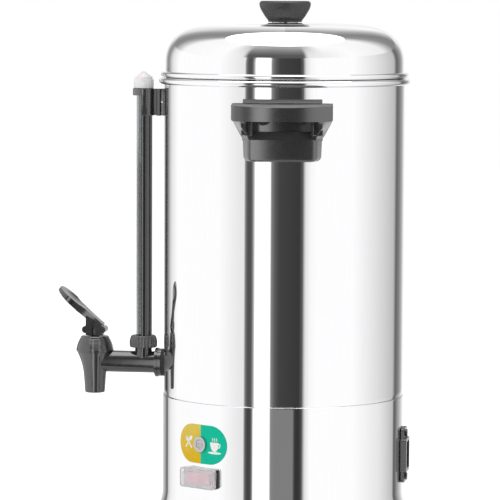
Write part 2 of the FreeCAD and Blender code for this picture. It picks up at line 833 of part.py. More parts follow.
def lever_block():
    """The lever's hub: flat under the pin, sloped on top, with a lobe at each end."""
    y = barrel_place
    half = lever_block_length / 2
    low, high = pin_z - lever_block_bottom, pin_z + lever_block_top
    tall = block(lever_block_width, y - half, y + half, pin_z, high + block_slope)
    slope = side_prism(outline((y - half, pin_z), (y + half, pin_z), (y + half, high + block_slope),
                               (y - half, high - block_slope)), 2 * lever_block_width)
    bend = block_corner * (1 - math.sqrt(0.5))
    belly = side_prism(outline(
        (y - half, pin_z), (y - half, low + block_corner),
        ((y - half + bend, low + bend), (y - half + block_corner, low)),
        (y + half - block_corner, low),
        ((y + half - bend, low + bend), (y + half, low + block_corner)), (y + half, pin_z)),
        lever_block_width)
    edge = -lever_block_width / 2
    lobes = [Part.makeCylinder(lobe_radius, lever_block_width,
                               V(edge, -y + side * lobe_place, pin_z - lobe_drop), V(1, 0, 0))
             for side in (-1, 1)]
    return joined(tall.common(slope), belly, *lobes)


def lever_blade():
    """The thumb paddle: a long drop shape with a shallow dish, thinner towards its tip."""
    length, width, root, thick = blade_length, blade_width, blade_root_width, blade_thickness
    plan = outline(
        (-root / 2, 0), (root / 2, 0), [(root / 2, length * 0.28), (width / 2, length * 0.68)],
        ((0, length), (-width / 2, length * 0.68)), [(-root / 2, length * 0.28), (-root / 2, 0)])
    blade = Part.Face(plan).extrude(V(0, -thick, 0))
    dish_radius = width * width / (8 * blade_dish) + blade_dish
    dish = Part.makeSphere(dish_radius, V(0, dish_radius - blade_dish, length * 0.66))
    taper = side_prism(outline((0, 0), (thick, 0), (thick, length * 0.5), (thick * 0.5, length + 1),
                               (0, length + 1)), 2 * width)
    blade = blade.common(taper).cut(dish).rotated(V(0, 0, 0), V(1, 0, 0), 90 - blade_angle)
    root_z = pin_z + lever_block_top + block_slope - blade_sink
    return blade.translated(V(0, blade_root_place - barrel_place, root_z))


def lever():
    slot_half = tongue_width / 2 + slip
    back = barrel_place - valve_stem_radius - slot_room
    far = barrel_place + lobe_place + lobe_radius + 1
    slot = block(2 * slot_half, back, far, pin_z - lever_block_bottom - 1, pin_z)
    head = block(2 * slot_half, back, barrel_place + valve_stem_radius + slot_room, pin_z - 1,
                 pin_z + pin_radius + 3.2)
    running = pin_radius + pin_slack
    way_in = block(2 * lever_block_width, barrel_place - running, barrel_place + running,
                   pin_z - lever_block_bottom - 1, pin_z)
    return cut(joined(lever_block(), lever_blade()), slot, head, way_in, pin_bar(running, lever_block_width))


# Sight gauge

def tube_top_z():
    return rim_z - bracket_top_drop + tube_into_cap


def gauge_tube():
    low = arm_z + collar_rise - tube_seat_depth + snug
    return ring(tube_radius - tube_wall, tube_radius, low, tube_top_z(), gauge_place)


def guard_low_z():
    return arm_z + collar_rise + gauge_nut_height - nut_overlap + slip


def gauge_guard():
    inner = tube_radius + slip
    low, top = guard_low_z(), bracket_low_z() + bracket_height - bracket_ring_height - slip
    shell = ring(inner, inner + guard_wall, low, top, gauge_place)
    turn = math.radians(guard_half_angle)
    span = 4 * (inner + guard_wall)
    edge = (span * math.sin(turn), span * math.cos(turn) - gauge_place)
    centre = V(0, -gauge_place, low - 1)
    keep = Part.makePolygon([centre, V(edge[0], edge[1], low - 1), V(span, span - gauge_place, low - 1),
                             V(-span, span - gauge_place, low - 1), V(-edge[0], edge[1], low - 1), centre])
    return shell.common(Part.Face(keep).extrude(V(0, 0, top - low + 2)))


def gauge_seal():
    low = arm_z + collar_rise + snug
    return ring(tube_radius + snug, collar_radius - snug, low, low + gauge_seal_height, gauge_place)


def gauge_nut():
    low = arm_z + collar_rise - nut_overlap
    seal_top = arm_z + collar_rise + gauge_seal_height + 2 * snug
    top = low + gauge_nut_height
    return spun(outline(
        (collar_radius + snug, low), (gauge_nut_radius - 1.5, low),
        ((gauge_nut_radius - 0.5, low + 0.5), (gauge_nut_radius, low + 1.5)),
        (gauge_nut_radius, low + 6), (gauge_nut_top_radius, top), (tube_radius + slip, top),
        (tube_radius + slip, seal_top), (collar_radius + snug, seal_top)), gauge_place)


def bracket_low_z():
    return rim_z - bracket_top_drop - bracket_height


def bracket_screw_z():
    return bracket_low_z() + bracket_height / 2


def gauge_bracket():
    low, top = bracket_low_z(), rim_z - bracket_top_drop
    ring_low = top - bracket_ring_height
    inner = tube_radius + slip
    sleeve_inner = inner + guard_wall + slip
    sleeve_outer = sleeve_inner + bracket_wall
    collar = disc(sleeve_outer, ring_low, top, gauge_place)
    tab = block(bracket_tab_width, gauge_place, gauge_place + bracket_ring_reach, ring_low, top)
    sleeve = ring(sleeve_inner, sleeve_outer, low, ring_low + 1, gauge_place).common(
        block(3 * sleeve_outer, gauge_place - 2 * sleeve_outer, gauge_place, low, top))
    wedge = side_prism(outline(
        (gauge_place + inner, ring_low + 1), (gauge_place + inner, ring_low - 8),
        (gauge_place + bracket_ring_reach - 2.5, ring_low + 1)), bracket_tab_width * 0.5)
    arm = block(bracket_arm_width, pot_radius - 5, gauge_place - sleeve_inner, low, top)
    arm = arm.cut(disc(sleeve_inner, low - 1, top + 1, gauge_place))
    arm = arm.cut(disc(pot_radius + snug, low - 1, top + 1))
    shape = joined(collar, tab, sleeve, wedge, arm)
    bore = rod(bracket_screw_radius + snug, 0, pot_radius + bracket_screw_depth, bracket_screw_z())
    return cut(shape, disc(inner, low - 1, top + 1, gauge_place), bore)


def bracket_screw():
    head = flat_inside(bracket_screw_radius * screw_head_ratio)
    return pan_screw(bracket_screw_radius, pot_radius + bracket_screw_depth - 0.5 - head).translated(
        V(0, -head, bracket_screw_z()))


def gauge_cap():
    low = rim_z - bracket_top_drop + slip
    shoulder = low + cap_cylinder_height
    bore = tube_radius + slip
    return spun(outline(
        (bore, low), (cap_radius, low), (cap_radius, shoulder - 0.8), (cap_radius - 0.8, shoulder),
        (cap_cone_radius, shoulder + 0.5), (cap_cone_radius, shoulder + 1.2), (0.6, low + cap_height),
        (0, low + cap_height), (0, low + cap_inside), (bore, low + cap_inside)), gauge_place)


# Percolator

def pump_top_z():
    return rim_z - pump_top_drop


def pump_tube():
    """The riser with its bell foot, which stands over the heated spot of the pot's floor."""
    low = floor_top + slip
    bell_top = low + pump_foot_height
    wall = pump_foot_wall
    inner = pump_radius - pump_wall
    tube = spun(outline(
        (pump_foot_radius - wall, low), (pump_foot_radius, low),
        [(pump_foot_radius * 0.78, low + pump_foot_height * 0.55), (pump_radius, bell_top)],
        (pump_radius, pump_top_z()), (inner, pump_top_z()), (inner, bell_top - wall),
        [(pump_foot_radius * 0.78 - wall, low + pump_foot_height * 0.55 - wall),
         (pump_foot_radius - wall, low)]))
    notch = block(2 * pump_foot_radius + 10, -4, 4, low - 1, low + 4)
    return cut(tube, notch, notch.rotated(V(0, 0, 0), UP, 90))


def pump_collar():
    """The ring pressed on the riser that carries the basket."""
    top = basket_z - slip
    return ring(pump_radius + snug, pump_collar_radius, top - pump_collar_height, top)


def basket():
    sleeve_inner = pump_radius + slip
    sleeve_outer = sleeve_inner + basket_sleeve_wall
    outer, wall, top = basket_radius, basket_wall, cover_z
    shell = spun(outline(
        (sleeve_inner, basket_z), (outer - 2, basket_z),
        ((outer - 0.6, basket_z + 0.6), (outer, basket_z + 2)),
        (outer, top - wall), (outer + basket_rim, top - wall), (outer + basket_rim, top), (outer - wall, top),
        (outer - wall, basket_z + 2), (outer - 2, basket_z + wall), (sleeve_outer, basket_z + wall),
        (sleeve_outer, top - 1), (sleeve_inner, top - 1)))
    holes = []
    for row in range(1, basket_hole_rings + 1):
        place = row * basket_hole_pitch + 4
        if place + basket_hole_radius + 3 < outer:
            hole = disc(basket_hole_radius, basket_z - 1, basket_z + wall + 1, place)
            holes += spread(hole, 6 * row)
    return shell.cut(group(holes))


def basket_cover():
    """The perforated spreader that lies on the basket, with a raised ring to lift it by."""
    low = cover_z + slip
    hole = pump_radius + slip
    plate = spun(outline(
        (hole, low), (basket_radius + basket_rim, low), (basket_radius + basket_rim, low + cover_thickness),
        (cover_grip_radius, low + cover_thickness), (cover_grip_radius, low + cover_grip_height),
        (cover_grip_radius - cover_thickness, low + cover_grip_height),
        (cover_grip_radius - cover_thickness, low + cover_thickness), (hole, low + cover_thickness)))
    holes = []
    for row in range(1, basket_hole_rings + 1):
        place = row * basket_hole_pitch + 6
        if place + cover_hole_radius + 3 < basket_radius:
            hole = disc(cover_hole_radius, low - 1, low + 2, place)
            holes += spread(hole, 6 * row, 15)
    return plate.cut(group(holes))


# Heating and electric parts

def heater():
    """The cast pump heater under the middle of the pot's floor, with its two terminals."""
    top = floor_z - snug
    low = top - heater_height
    shape = spun(outline(
        (0, low), (heater_radius - 4, low), (heater_radius, low + 4), (heater_radius, top - 3),
        (heater_radius + 3, top - 3), (heater_radius + 3, top), (0, top)))
    ends = [disc(terminal_radius, low - terminal_length, low + 1, 0, x)
            for x in (-heater_terminal_place, heater_terminal_place)]
    return joined(shape, *ends)


def warm_element():
    """The keep warm element: one open turn of tube brazed under the floor, its ends turned down."""
    z = floor_z - snug - element_radius
    section = Part.Face(Part.Wire(Part.makeCircle(element_radius, V(element_circle, 0, z), V(0, 1, 0))))
    loop = section.revolve(V(0, 0, 0), UP, element_sweep)
    turn = math.radians(element_sweep)
    ends = [V(element_circle, 0, z), V(element_circle * math.cos(turn), element_circle * math.sin(turn), z)]
    shape = loop
    for end in ends:
        shape = shape.fuse(Part.makeCylinder(element_radius * 0.85, terminal_length + 4, end, V(0, 0, -1)))
    return shape.rotated(V(0, 0, 0), UP, element_first)


def thermostat():
    top = floor_z - snug
    body = disc(thermostat_radius, top - thermostat_height, top, thermostat_place)
    tabs = [block(1, thermostat_place - 3, thermostat_place + 3, top - thermostat_height - 8,
                  top - thermostat_height + 1, x) for x in (-5, 5)]
    return around(terminal_angle, joined(body, *tabs))


def thermal_cutout():
    top = floor_z - snug
    body = disc(cutout_radius, top - thermostat_height, top, thermostat_place)
    low = top - thermostat_height
    button = disc(cutout_radius * 0.35, low - 3, low + 1, thermostat_place)
    return around(-terminal_angle, joined(body, button))


def terminal_block():
    low = plate_top + snug
    half = terminal_block_width / 2
    shape = block(terminal_block_length, terminal_block_place - half, terminal_block_place + half,
                  low, low + terminal_block_height)
    holes = [disc(terminal_hole_radius, low + terminal_hole_floor, low + terminal_block_height + 1,
                  terminal_block_place, x) for x in terminal_places()]
    return around(terminal_angle, cut(shape, *holes))


def terminal_places():
    """Where the block's terminals stand along it."""
    pitch = terminal_block_length / terminal_count
    return [-terminal_block_length / 2 + pitch * (i + 0.5) for i in range(terminal_count)]


def earth_stud():
    head = disc(foot_screw_radius * screw_head_ratio, plate_top + snug, plate_top + 2, terminal_block_place)
    stud = disc(foot_screw_radius, plate_z + snug, plate_top + earth_stud_length, terminal_block_place)
    return around(earth_angle, joined(head, stud))


def at(angle, reach, z, x=0.0):
    """A point at an angle from the tap and a distance from the axis, x to its side."""
    turn = math.radians(angle)
    return V(reach * math.sin(turn) + x * math.cos(turn), x * math.sin(turn) - reach * math.cos(turn), z)


def lead(points):
    """An insulated lead along a smooth path."""
    curve = Part.BSplineCurve()
    curve.interpolate(points)
    first = curve.FirstParameter
    section = Part.Wire(Part.makeCircle(lead_radius, curve.value(first), curve.tangent(first)[0]))
    return Part.Wire(curve.toShape()).makePipeShell([section], True, True)


def leads():
    """The leads between the inlet, switch, lamp, terminal block, thermostat and heaters."""
    low_pin, earth_pin, high_pin = [
        (inlet_z + z, x, inlet_back() - tab_length - lead_gap) for x, z in inlet_pin_places()]
    blade_end = switch_face() - switch_depth - tab_length - lead_gap
    lamp_end = lamp_seat() - lamp_depth - lead_gap
    seat = plate_top + snug + lead_gap + terminal_hole_floor
    clamp = [[at(terminal_angle, terminal_block_place, seat + rise, x) for rise in (22, 10, 0)]
             for x in terminal_places()]
    earth_z = plate_top + earth_stud_length + lead_gap
    hot = floor_z - snug - lead_gap - heater_height - terminal_length
    warm = floor_z - snug - lead_gap - element_radius - terminal_length - 4
    sensed = floor_z - snug - lead_gap - thermostat_height - tab_length
    warm_ends = [at(element_first + 90 + swing, element_circle, 0) for swing in (0, element_sweep)]
    tab = [at(terminal_angle, thermostat_place, 0, x) for x in (-5, 5)]
    cross = heater_terminal_place
    routes = [
        [at(inlet_angle, high_pin[2], high_pin[0], high_pin[1]),
         at(inlet_angle, high_pin[2] - 12, high_pin[0], high_pin[1]),
         at(inlet_angle - 14, thermostat_place + 12, inlet_z - 20)] + clamp[2],
        [at(inlet_angle, low_pin[2], low_pin[0], low_pin[1]),
         at(inlet_angle - 4, low_pin[2] - 10, low_pin[0] - 4),
         at(inlet_angle - 16, terminal_block_place + 24, inlet_z - 36)] + clamp[1],
        [at(inlet_angle, earth_pin[2], earth_pin[0], earth_pin[1]),
         at(inlet_angle + 8, earth_pin[2] - 14, earth_pin[0] - 4),
         at(inlet_angle + 40, terminal_block_place + 14, inlet_z - 34),
         at(earth_angle + 330, terminal_block_place + 2, earth_z + 18),
         at(earth_angle + 360, terminal_block_place, earth_z + 8),
         at(earth_angle + 360, terminal_block_place, earth_z)],
        [at(panel_angle, blade_end, switch_z, 0), at(panel_angle, blade_end - 12, switch_z),
         at(panel_angle + 40, terminal_block_place + 14, switch_z - 16)] + clamp[0],
        clamp[3][::-1] + [V(cross + 3, 12, hot - 22), V(cross, 0, hot - 10), V(cross, 0, hot)],
        [V(-cross, 0, hot), V(-cross, 0, hot - 8), V(-cross + 6, 8, hot - 18), V(4, 28, hot - 16),
         V(tab[1].x, tab[1].y, sensed - 10), V(tab[1].x, tab[1].y, sensed)],
        [V(tab[0].x, tab[0].y, sensed), V(tab[0].x, tab[0].y, sensed - 8),
         V(tab[0].x, tab[0].y + 14, sensed - 16),
         V(warm_ends[1].x, warm_ends[1].y, warm - 8), V(warm_ends[1].x, warm_ends[1].y, warm)],
        [at(panel_angle, blade_end, switch_z, -blade_spacing),
         at(panel_angle, blade_end - 8, switch_z + 2, -blade_spacing),
         at(panel_angle, blade_end - 9, label_z - 12, -4), at(panel_angle, lamp_end - 9, label_z, 0),
         at(panel_angle, lamp_end, label_z, 0)],
    ]
    return group([lead(route) for route in routes])


# Label, lamp and rocker

def label_plate():
    near = skirt_radius + snug
    shape = prism(rounded_outline(label_width, label_height, label_height / 2 - 0.01, label_z),
                  near - 15, near + 5).common(
        ring(near, near + label_thickness, label_z - label_height, label_z + label_height))
    return around(panel_angle, shape.cut(rod(lamp_hole + hole_slack, 0, near + 20, label_z)))


def lamp_seat():
    """Distance of the lamp bezel's flat back, clear of the curved label."""
    return skirt_radius + label_thickness + 2 * snug


def lamp_bezel():
    near = lamp_seat()
    bezel = rod(bezel_radius, near, near + bezel_height, label_z)
    barrel = rod(lamp_hole, near - lamp_depth, near + 0.5, label_z)
    shape = joined(bezel, barrel)
    return around(panel_angle, cut(shape, rod(lamp_radius + snug, near - lamp_depth + 3, near + 5, label_z)))


def lamp_lens():
    near = lamp_seat()
    front = near + bezel_height
    body = rod(lamp_radius, near - lamp_depth + 3 + snug, front, label_z)
    radius = (lamp_radius ** 2 + lamp_bulge ** 2) / (2 * lamp_bulge)
    ball = Part.makeSphere(radius, V(0, -(front + lamp_bulge - radius), label_z))
    cap = ball.common(rod(lamp_radius, front - 0.01, front + lamp_bulge + 1, label_z))
    return around(panel_angle, joined(body, cap))


def lamp_nut():
    seat = math.sqrt(skirt_inner ** 2 - lamp_nut_radius ** 2) - snug
    nut = rod(lamp_nut_radius, seat - lamp_nut_thickness, seat, label_z)
    return around(panel_angle, nut.cut(rod(lamp_hole + snug, 0, seat + 5, label_z)))


def switch_face():
    """Distance of the front of the switch's frame."""
    return skirt_radius + snug + switch_flange


def switch_housing():
    face = switch_face()
    frame = prism(rounded_outline(switch_width, switch_height, switch_corner, switch_z), pot_radius - 8, face)
    frame = frame.cut(disc(skirt_radius + snug, switch_z - 40, switch_z + 40))
    body = block(switch_body_width, face - switch_depth, face - 0.5,
                 switch_z - switch_body_height / 2, switch_z + switch_body_height / 2)
    clear = block(rocker_width + 4 * slip, face - switch_depth * 0.6, face + 5,
                  switch_z - rocker_height / 2 - slip, switch_z + rocker_height / 2 + slip)
    blades = [block(0.8, face - switch_depth - 8, face - switch_depth + 1, switch_z - 2.4, switch_z + 2.4, x)
              for x in (-blade_spacing, 0, blade_spacing)]
    shape = joined(joined(frame, body).cut(clear), *blades)
    return around(panel_angle, cut(shape, rocker_axle(rocker_pivot_radius + pin_slack, rocker_height + 2.4)))


def rocker_pivot():
    """Distance of the rocker's axis from the urn's axis."""
    return switch_face() - rocker_thickness / 2


def rocker_axle(radius, length):
    return Part.makeCylinder(radius, length, V(0, -rocker_pivot(), switch_z - length / 2), UP)


def rocker():
    """The rocker in its off position, tipped about its upright axle."""
    pivot = rocker_pivot()
    half = rocker_width / 2
    low, high = switch_z - rocker_height / 2, switch_z + rocker_height / 2
    rise = math.tan(math.radians(rocker_tilt)) * half
    front = pivot + rocker_thickness / 2 + rocker_lift
    shape = Part.Face(Part.makePolygon([
        V(-half + 0.8, -(front + rise * 0.9), low), V(0, -(front - 0.4), low),
        V(half - 0.8, -(front + rise * 0.9), low), V(half - 0.4, -(pivot - rocker_thickness), low),
        V(0, -(pivot - rocker_thickness - 2), low), V(-half + 0.4, -(pivot - rocker_thickness), low),
        V(-half + 0.8, -(front + rise * 0.9), low)])).extrude(V(0, 0, high - low))
    shape = joined(shape, rocker_axle(rocker_pivot_radius, rocker_height + 2))
    shape = shape.rotated(V(0, -pivot, 0), UP, rocker_tilt)
    return around(panel_angle, shape)


def splash_cover():
    """The clear soft hood over the rocker."""
    near = switch_face() + snug
    far = near + splash_height
    outer = prism(rounded_outline(switch_width, switch_height, switch_corner, switch_z), near, far)
    inside = rounded_outline(switch_width - 2 * splash_wall, switch_height - 2 * splash_wall,
                             switch_corner - splash_wall, switch_z)
    inner = prism(inside, near - 1, far - splash_wall)
    return around(panel_angle, outer.cut(inner))


# Mains inlet

def inlet_seat():
    return skirt_radius + snug


def inlet_housing():
    seat = inlet_seat()
    ear_far = seat + inlet_ear_thickness
    face_far = seat + inlet_face_reach
    ears = prism(rounded_outline(inlet_ear_width, inlet_ear_height, inlet_corner, inlet_z), seat, ear_far)
    face = prism(rounded_outline(inlet_face_width, inlet_face_height, inlet_corner, inlet_z), seat, face_far)
    wide = inlet_cavity_width + 2 * inlet_body_wall
    tall = inlet_cavity_height + 2 * inlet_body_wall
    back = inlet_back()
    body = block(wide, back, seat + 1, inlet_z - tall / 2, inlet_z + tall / 2)
    tabs = [block(tab_thickness, back - tab_length, back + 1, inlet_z + z - tab_width / 2,
                  inlet_z + z + tab_width / 2, x) for x, z in inlet_pin_places()]
    shape = joined(ears, face, body, *tabs)
    cavity = block(inlet_cavity_width, face_far - inlet_cavity_depth, face_far + 5,
                   inlet_z - inlet_cavity_height / 2, inlet_z + inlet_cavity_height / 2)
    holes = [rod(inlet_screw_radius + hole_slack, seat - 5, ear_far + 5, z) for z in inlet_screw_levels()]
    return around(inlet_angle, cut(shape, cavity, *holes))


def inlet_back():
    """Distance of the housing's back, behind its socket."""
    return inlet_seat() + inlet_face_reach - inlet_cavity_depth - inlet_back_wall


def inlet_screw_levels():
    return [inlet_z + side * inlet_screw_spacing / 2 for side in (-1, 1)]


def inlet_pin_places():
    return [(-inlet_pin_offset + 2, -inlet_pin_spacing), (inlet_pin_offset - 2, 0),
            (-inlet_pin_offset + 2, inlet_pin_spacing)]


def inlet_pins():
    base = inlet_seat() + inlet_face_reach - inlet_cavity_depth + snug
    pins = [block(inlet_pin_width, base, base + inlet_pin_length, inlet_z + z - inlet_pin_height / 2,
                  inlet_z + z + inlet_pin_height / 2, x) for x, z in inlet_pin_places()]
    return group([around(inlet_angle, pin) for pin in pins])


def inlet_screws():
    pieces = []
    face = inlet_seat() + inlet_ear_thickness + snug
    for z in inlet_screw_levels():
        screw = pan_screw(inlet_screw_radius, inlet_screw_length).rotated(V(0, 0, 0), UP, 180)
        pieces.append(around(inlet_angle, screw.translated(V(0, -face, z))))
    return group(pieces)


def inlet_nuts():
    seat = math.sqrt(skirt_inner ** 2 - inlet_nut_radius ** 2) - snug
    nuts = [rod(inlet_nut_radius, seat - inlet_nut_thickness, seat, z).cut(
        rod(inlet_screw_radius + snug, 0, seat + 5, z)) for z in inlet_screw_levels()]
    return group([around(inlet_angle, nut) for nut in nuts])


pieces = {
    "lid_shell": lid_shell, "lid_knob": knob, "knob_washer": knob_washer, "knob_screw": knob_screw,
    "pot": pot, "handle_screws": handle_screws, "handle_washers": handle_washers,
    "gauge_cap": gauge_cap, "gauge_bracket": gauge_bracket, "bracket_screw": bracket_screw,
    "gauge_tube": gauge_tube, "gauge_guard": gauge_guard, "gauge_nut": gauge_nut, "gauge_seal": gauge_seal,
    "tap_body": tap_body, "tap_gasket": tap_gasket, "tap_washer": tap_washer, "tap_back_nut": back_nut,
    "tap_bonnet": bonnet, "valve_stem": valve_stem, "valve_seal": valve_seal, "valve_spring": valve_spring,
    "tap_lever": lever, "lever_pin": lever_pin,
    "pump_tube": pump_tube, "pump_collar": pump_collar, "basket": basket, "basket_cover": basket_cover,
    "skirt": skirt, "bottom_plate": bottom_plate, "feet": feet, "foot_screws": foot_screws,
    "foot_nuts": foot_nuts, "base_studs": base_studs, "base_nuts": base_nuts,
    "pump_heater": heater, "warm_element": warm_element, "thermostat": thermostat,
    "thermal_cutout": thermal_cutout, "terminal_block": terminal_block, "earth_stud": earth_stud,
    "leads": leads,
    "label_plate": label_plate, "lamp_bezel": lamp_bezel, "lamp_lens": lamp_lens, "lamp_nut": lamp_nut,
    "switch_housing": switch_housing, "rocker": rocker, "splash_cover": splash_cover,
    "inlet_housing": inlet_housing, "inlet_pins": inlet_pins, "inlet_screws": inlet_screws,
    "inlet_nuts": inlet_nuts,
}

shapes = {name: make() for name, make in pieces.items()}
plain_handle = handle()
shapes["handle_right"] = around(handle_angle, plain_handle)
shapes["handle_left"] = around(-handle_angle, plain_handle)

# The origin is under the middle of the whole urn, so every piece moves by the same offset in Y
boxes = [shape.optimalBoundingBox(False) for shape in shapes.values()]
offset = V(0, -(min(box.YMin for box in boxes) + max(box.YMax for box in boxes)) / 2, 0)

os.makedirs("parts", exist_ok=True)
for name, shape in shapes.items():
    shape.translated(offset).exportStep("parts/" + name + ".step")
print("urn axis at y =", round(offset.y, 3))
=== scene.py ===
import bpy
import bmesh
import math
from mathutils import Matrix, Vector


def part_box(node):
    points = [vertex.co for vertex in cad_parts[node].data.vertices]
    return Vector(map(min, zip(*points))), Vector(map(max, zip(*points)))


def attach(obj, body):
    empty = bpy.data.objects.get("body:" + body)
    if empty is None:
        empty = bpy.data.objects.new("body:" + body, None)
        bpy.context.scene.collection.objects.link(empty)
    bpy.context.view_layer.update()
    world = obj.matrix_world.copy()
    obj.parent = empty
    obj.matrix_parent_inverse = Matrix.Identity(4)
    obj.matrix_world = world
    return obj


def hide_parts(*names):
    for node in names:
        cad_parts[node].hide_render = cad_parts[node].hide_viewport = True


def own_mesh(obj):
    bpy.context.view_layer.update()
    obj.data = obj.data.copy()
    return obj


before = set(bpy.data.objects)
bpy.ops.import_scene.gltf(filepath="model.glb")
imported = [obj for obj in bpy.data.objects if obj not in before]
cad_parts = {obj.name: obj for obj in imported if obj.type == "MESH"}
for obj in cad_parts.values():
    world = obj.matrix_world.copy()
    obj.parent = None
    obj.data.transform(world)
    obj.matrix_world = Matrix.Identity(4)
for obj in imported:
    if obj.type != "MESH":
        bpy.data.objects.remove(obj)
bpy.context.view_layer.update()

# The photographer's table and tent. The urn stands on a pale floor in a white tent with a few dark
# cards and softboxes around it, which only its polished steel and glossy plastic show. The camera
# looks at the right side of the urn from 2.95 m, a little above the rim.

scene = bpy.context.scene
scene.view_settings.view_transform = "Standard"

pot_low, pot_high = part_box("pot")
axis_y = (pot_low[1] + pot_high[1]) / 2     # the urn's axis stands on x = 0 at this y
camera_azimuth = math.radians(99.0)
camera_distance = 2.950
camera_height = 0.515
focal_pixels = 3228.0
yaw = math.atan(34.0 / focal_pixels)
pitch = math.radians(4.72)
camera_roll = math.radians(0.25)

camera = bpy.data.objects.new("camera", bpy.data.cameras.new("camera"))
scene.collection.objects.link(camera)
scene.camera = camera
sensor_width, frame_pixels = 36.0, 500
camera.data.sensor_width = sensor_width
camera.data.lens = sensor_width * focal_pixels / frame_pixels
ahead = Matrix.Rotation(yaw, 3, "Z") @ Vector((-math.sin(camera_azimuth), math.cos(camera_azimuth), 0))
right = Vector((ahead.y, -ahead.x, 0))
forward = ahead * math.cos(pitch) - Vector((0, 0, math.sin(pitch)))
turn = Matrix((right, right.cross(forward), -forward)).transposed() @ Matrix.Rotation(camera_roll, 3, "Z")
place = Vector((math.sin(camera_azimuth), -math.cos(camera_azimuth), 0)) * camera_distance
camera.matrix_world = Matrix.Translation(place + Vector((0, axis_y, camera_height))) @ turn.to_4x4()
camera.data.clip_start, camera.data.clip_end = 0.1, 60


def node(tree_nodes, kind, **values):
    """A shader node with its settings, and its sockets by number with a leading underscore."""
    made = tree_nodes.new(kind)
    for key, value in values.items():
        if key.startswith("_"):
            made.inputs[int(key[1:])].default_value = value
        else:
            setattr(made, key, value)
    return made


def ramp(tree_nodes, stops):
    """A colour ramp from (place, grey or colour) stops."""
    made = tree_nodes.new("ShaderNodeValToRGB")
    elements = made.color_ramp.elements
    while len(elements) > 1:
        elements.remove(elements[0])
    for index, (where, value) in enumerate(stops):
        element = elements[0] if index == 0 else elements.new(where)
        element.position = where
        shade = (value, value, value) if isinstance(value, (int, float)) else value
        element.color = (*shade, 1)
    return made


world = bpy.data.worlds.new("studio air")
scene.world = world
world.use_nodes = True
nodes, links = world.node_tree.nodes, world.node_tree.links
nodes.clear()
rays = node(nodes, "ShaderNodeLightPath")
seen = node(nodes, "ShaderNodeMath", operation="MAXIMUM")
links.new(rays.outputs["Is Camera Ray"], seen.inputs[0])
links.new(rays.outputs["Is Transmission Ray"], seen.inputs[1])
ambient = node(nodes, "ShaderNodeBackground", _0=(1, 1, 1, 1), _1=0.7)
white = node(nodes, "ShaderNodeBackground", _0=(1, 1, 1, 1), _1=1.0)
air = node(nodes, "ShaderNodeMixShader")
links.new(seen.outputs[0], air.inputs[0])
links.new(ambient.outputs[0], air.inputs[1])
links.new(white.outputs[0], air.inputs[2])
links.new(air.outputs[0], node(nodes, "ShaderNodeOutputWorld").inputs[0])


def mesh_object(name, builder, body):
    """A piece from a bmesh, that rides on a body of the frame."""
    mesh = bpy.data.meshes.new(name)
    builder.to_mesh(mesh)
    builder.free()
    piece = bpy.data.objects.new(name, mesh)
    scene.collection.objects.link(piece)
    if body:
        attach(piece, body)
    return piece


# the tent's wall is a drum around the urn, lit from within, that only reflections see. Its shades
# change with the direction seen from the urn, in layers that fade into each other up the wall
tent_radius, tent_low, tent_top = 1.25, -2.0, 2.4
tent_mesh = bmesh.new()
bmesh.ops.create_cone(tent_mesh, cap_ends=False, segments=96, radius1=tent_radius, radius2=tent_radius,
                      depth=tent_top - tent_low)
bmesh.ops.translate(tent_mesh, verts=tent_mesh.verts[:], vec=(0, axis_y, (tent_top + tent_low) / 2))
tent = mesh_object("tent_wall", tent_mesh, None)


def card(degrees):
    """Place on the ramp of a direction, in degrees to the camera's right seen from the urn."""
    return (degrees + 180) / 360


cards = bpy.data.materials.new("tent wall")
cards.use_nodes = True
nodes, links = cards.node_tree.nodes, cards.node_tree.links
nodes.clear()
spot = node(nodes, "ShaderNodeTexCoord")
centred = node(nodes, "ShaderNodeMapping")
centred.inputs["Location"].default_value = (0, -axis_y, 0)
links.new(spot.outputs["Object"], centred.inputs[0])
split = node(nodes, "ShaderNodeSeparateXYZ")
links.new(centred.outputs[0], split.inputs[0])
backwards = node(nodes, "ShaderNodeMath", operation="MULTIPLY", _1=-1.0)
links.new(split.outputs[1], backwards.inputs[0])
bearing = node(nodes, "ShaderNodeMath", operation="ARCTAN2")
links.new(split.outputs[0], bearing.inputs[0])
links.new(backwards.outputs[0], bearing.inputs[1])
turned = node(nodes, "ShaderNodeMath", operation="SUBTRACT", _1=camera_azimuth)
links.new(bearing.outputs[0], turned.inputs[0])
wrapped = node(nodes, "ShaderNodeMath", operation="WRAP", _1=math.pi, _2=-math.pi)
links.new(turned.outputs[0], wrapped.inputs[0])
around = node(nodes, "ShaderNodeMapRange", _1=-math.pi, _2=math.pi, _3=0.0, _4=1.0)
links.new(wrapped.outputs[0], around.inputs[0])
stripe_stops = [
    (card(-180), 0.8), (card(-158), 0.5), (card(-152), 0.06), (card(-145), 0.05), (card(-140), 0.35),
    (card(-132), 0.75), (card(-118), 1.0), (card(-62), 1.0), (card(-42), 0.83), (card(-36.2), 0.8),
    (card(-35), 0.15), (card(-32), 0.07), (card(-29), 0.1), (card(-27), 0.45), (card(-25.4), 1.7),
    (card(-13.2), 1.7), (card(-11.8), 0.25), (card(-8), 0.1), (card(-4), 0.055), (card(14), 0.04),
    (card(17), 0.12), (card(19.2), 0.75), (card(24), 0.95), (card(30), 1.0), (card(66), 1.0),
    (card(90), 0.8), (card(125), 0.5), (card(131), 0.12), (card(140), 0.22), (card(150), 0.45),
    (card(157), 0.8)]
stripes = ramp(nodes, stripe_stops)
rear_left = [
    (card(-180), 0.95), (card(-160), 0.7), (card(-152), 0.37), (card(-146), 0.24), (card(-141), 0.35)]
level = ramp(nodes, rear_left + stripe_stops[5:])
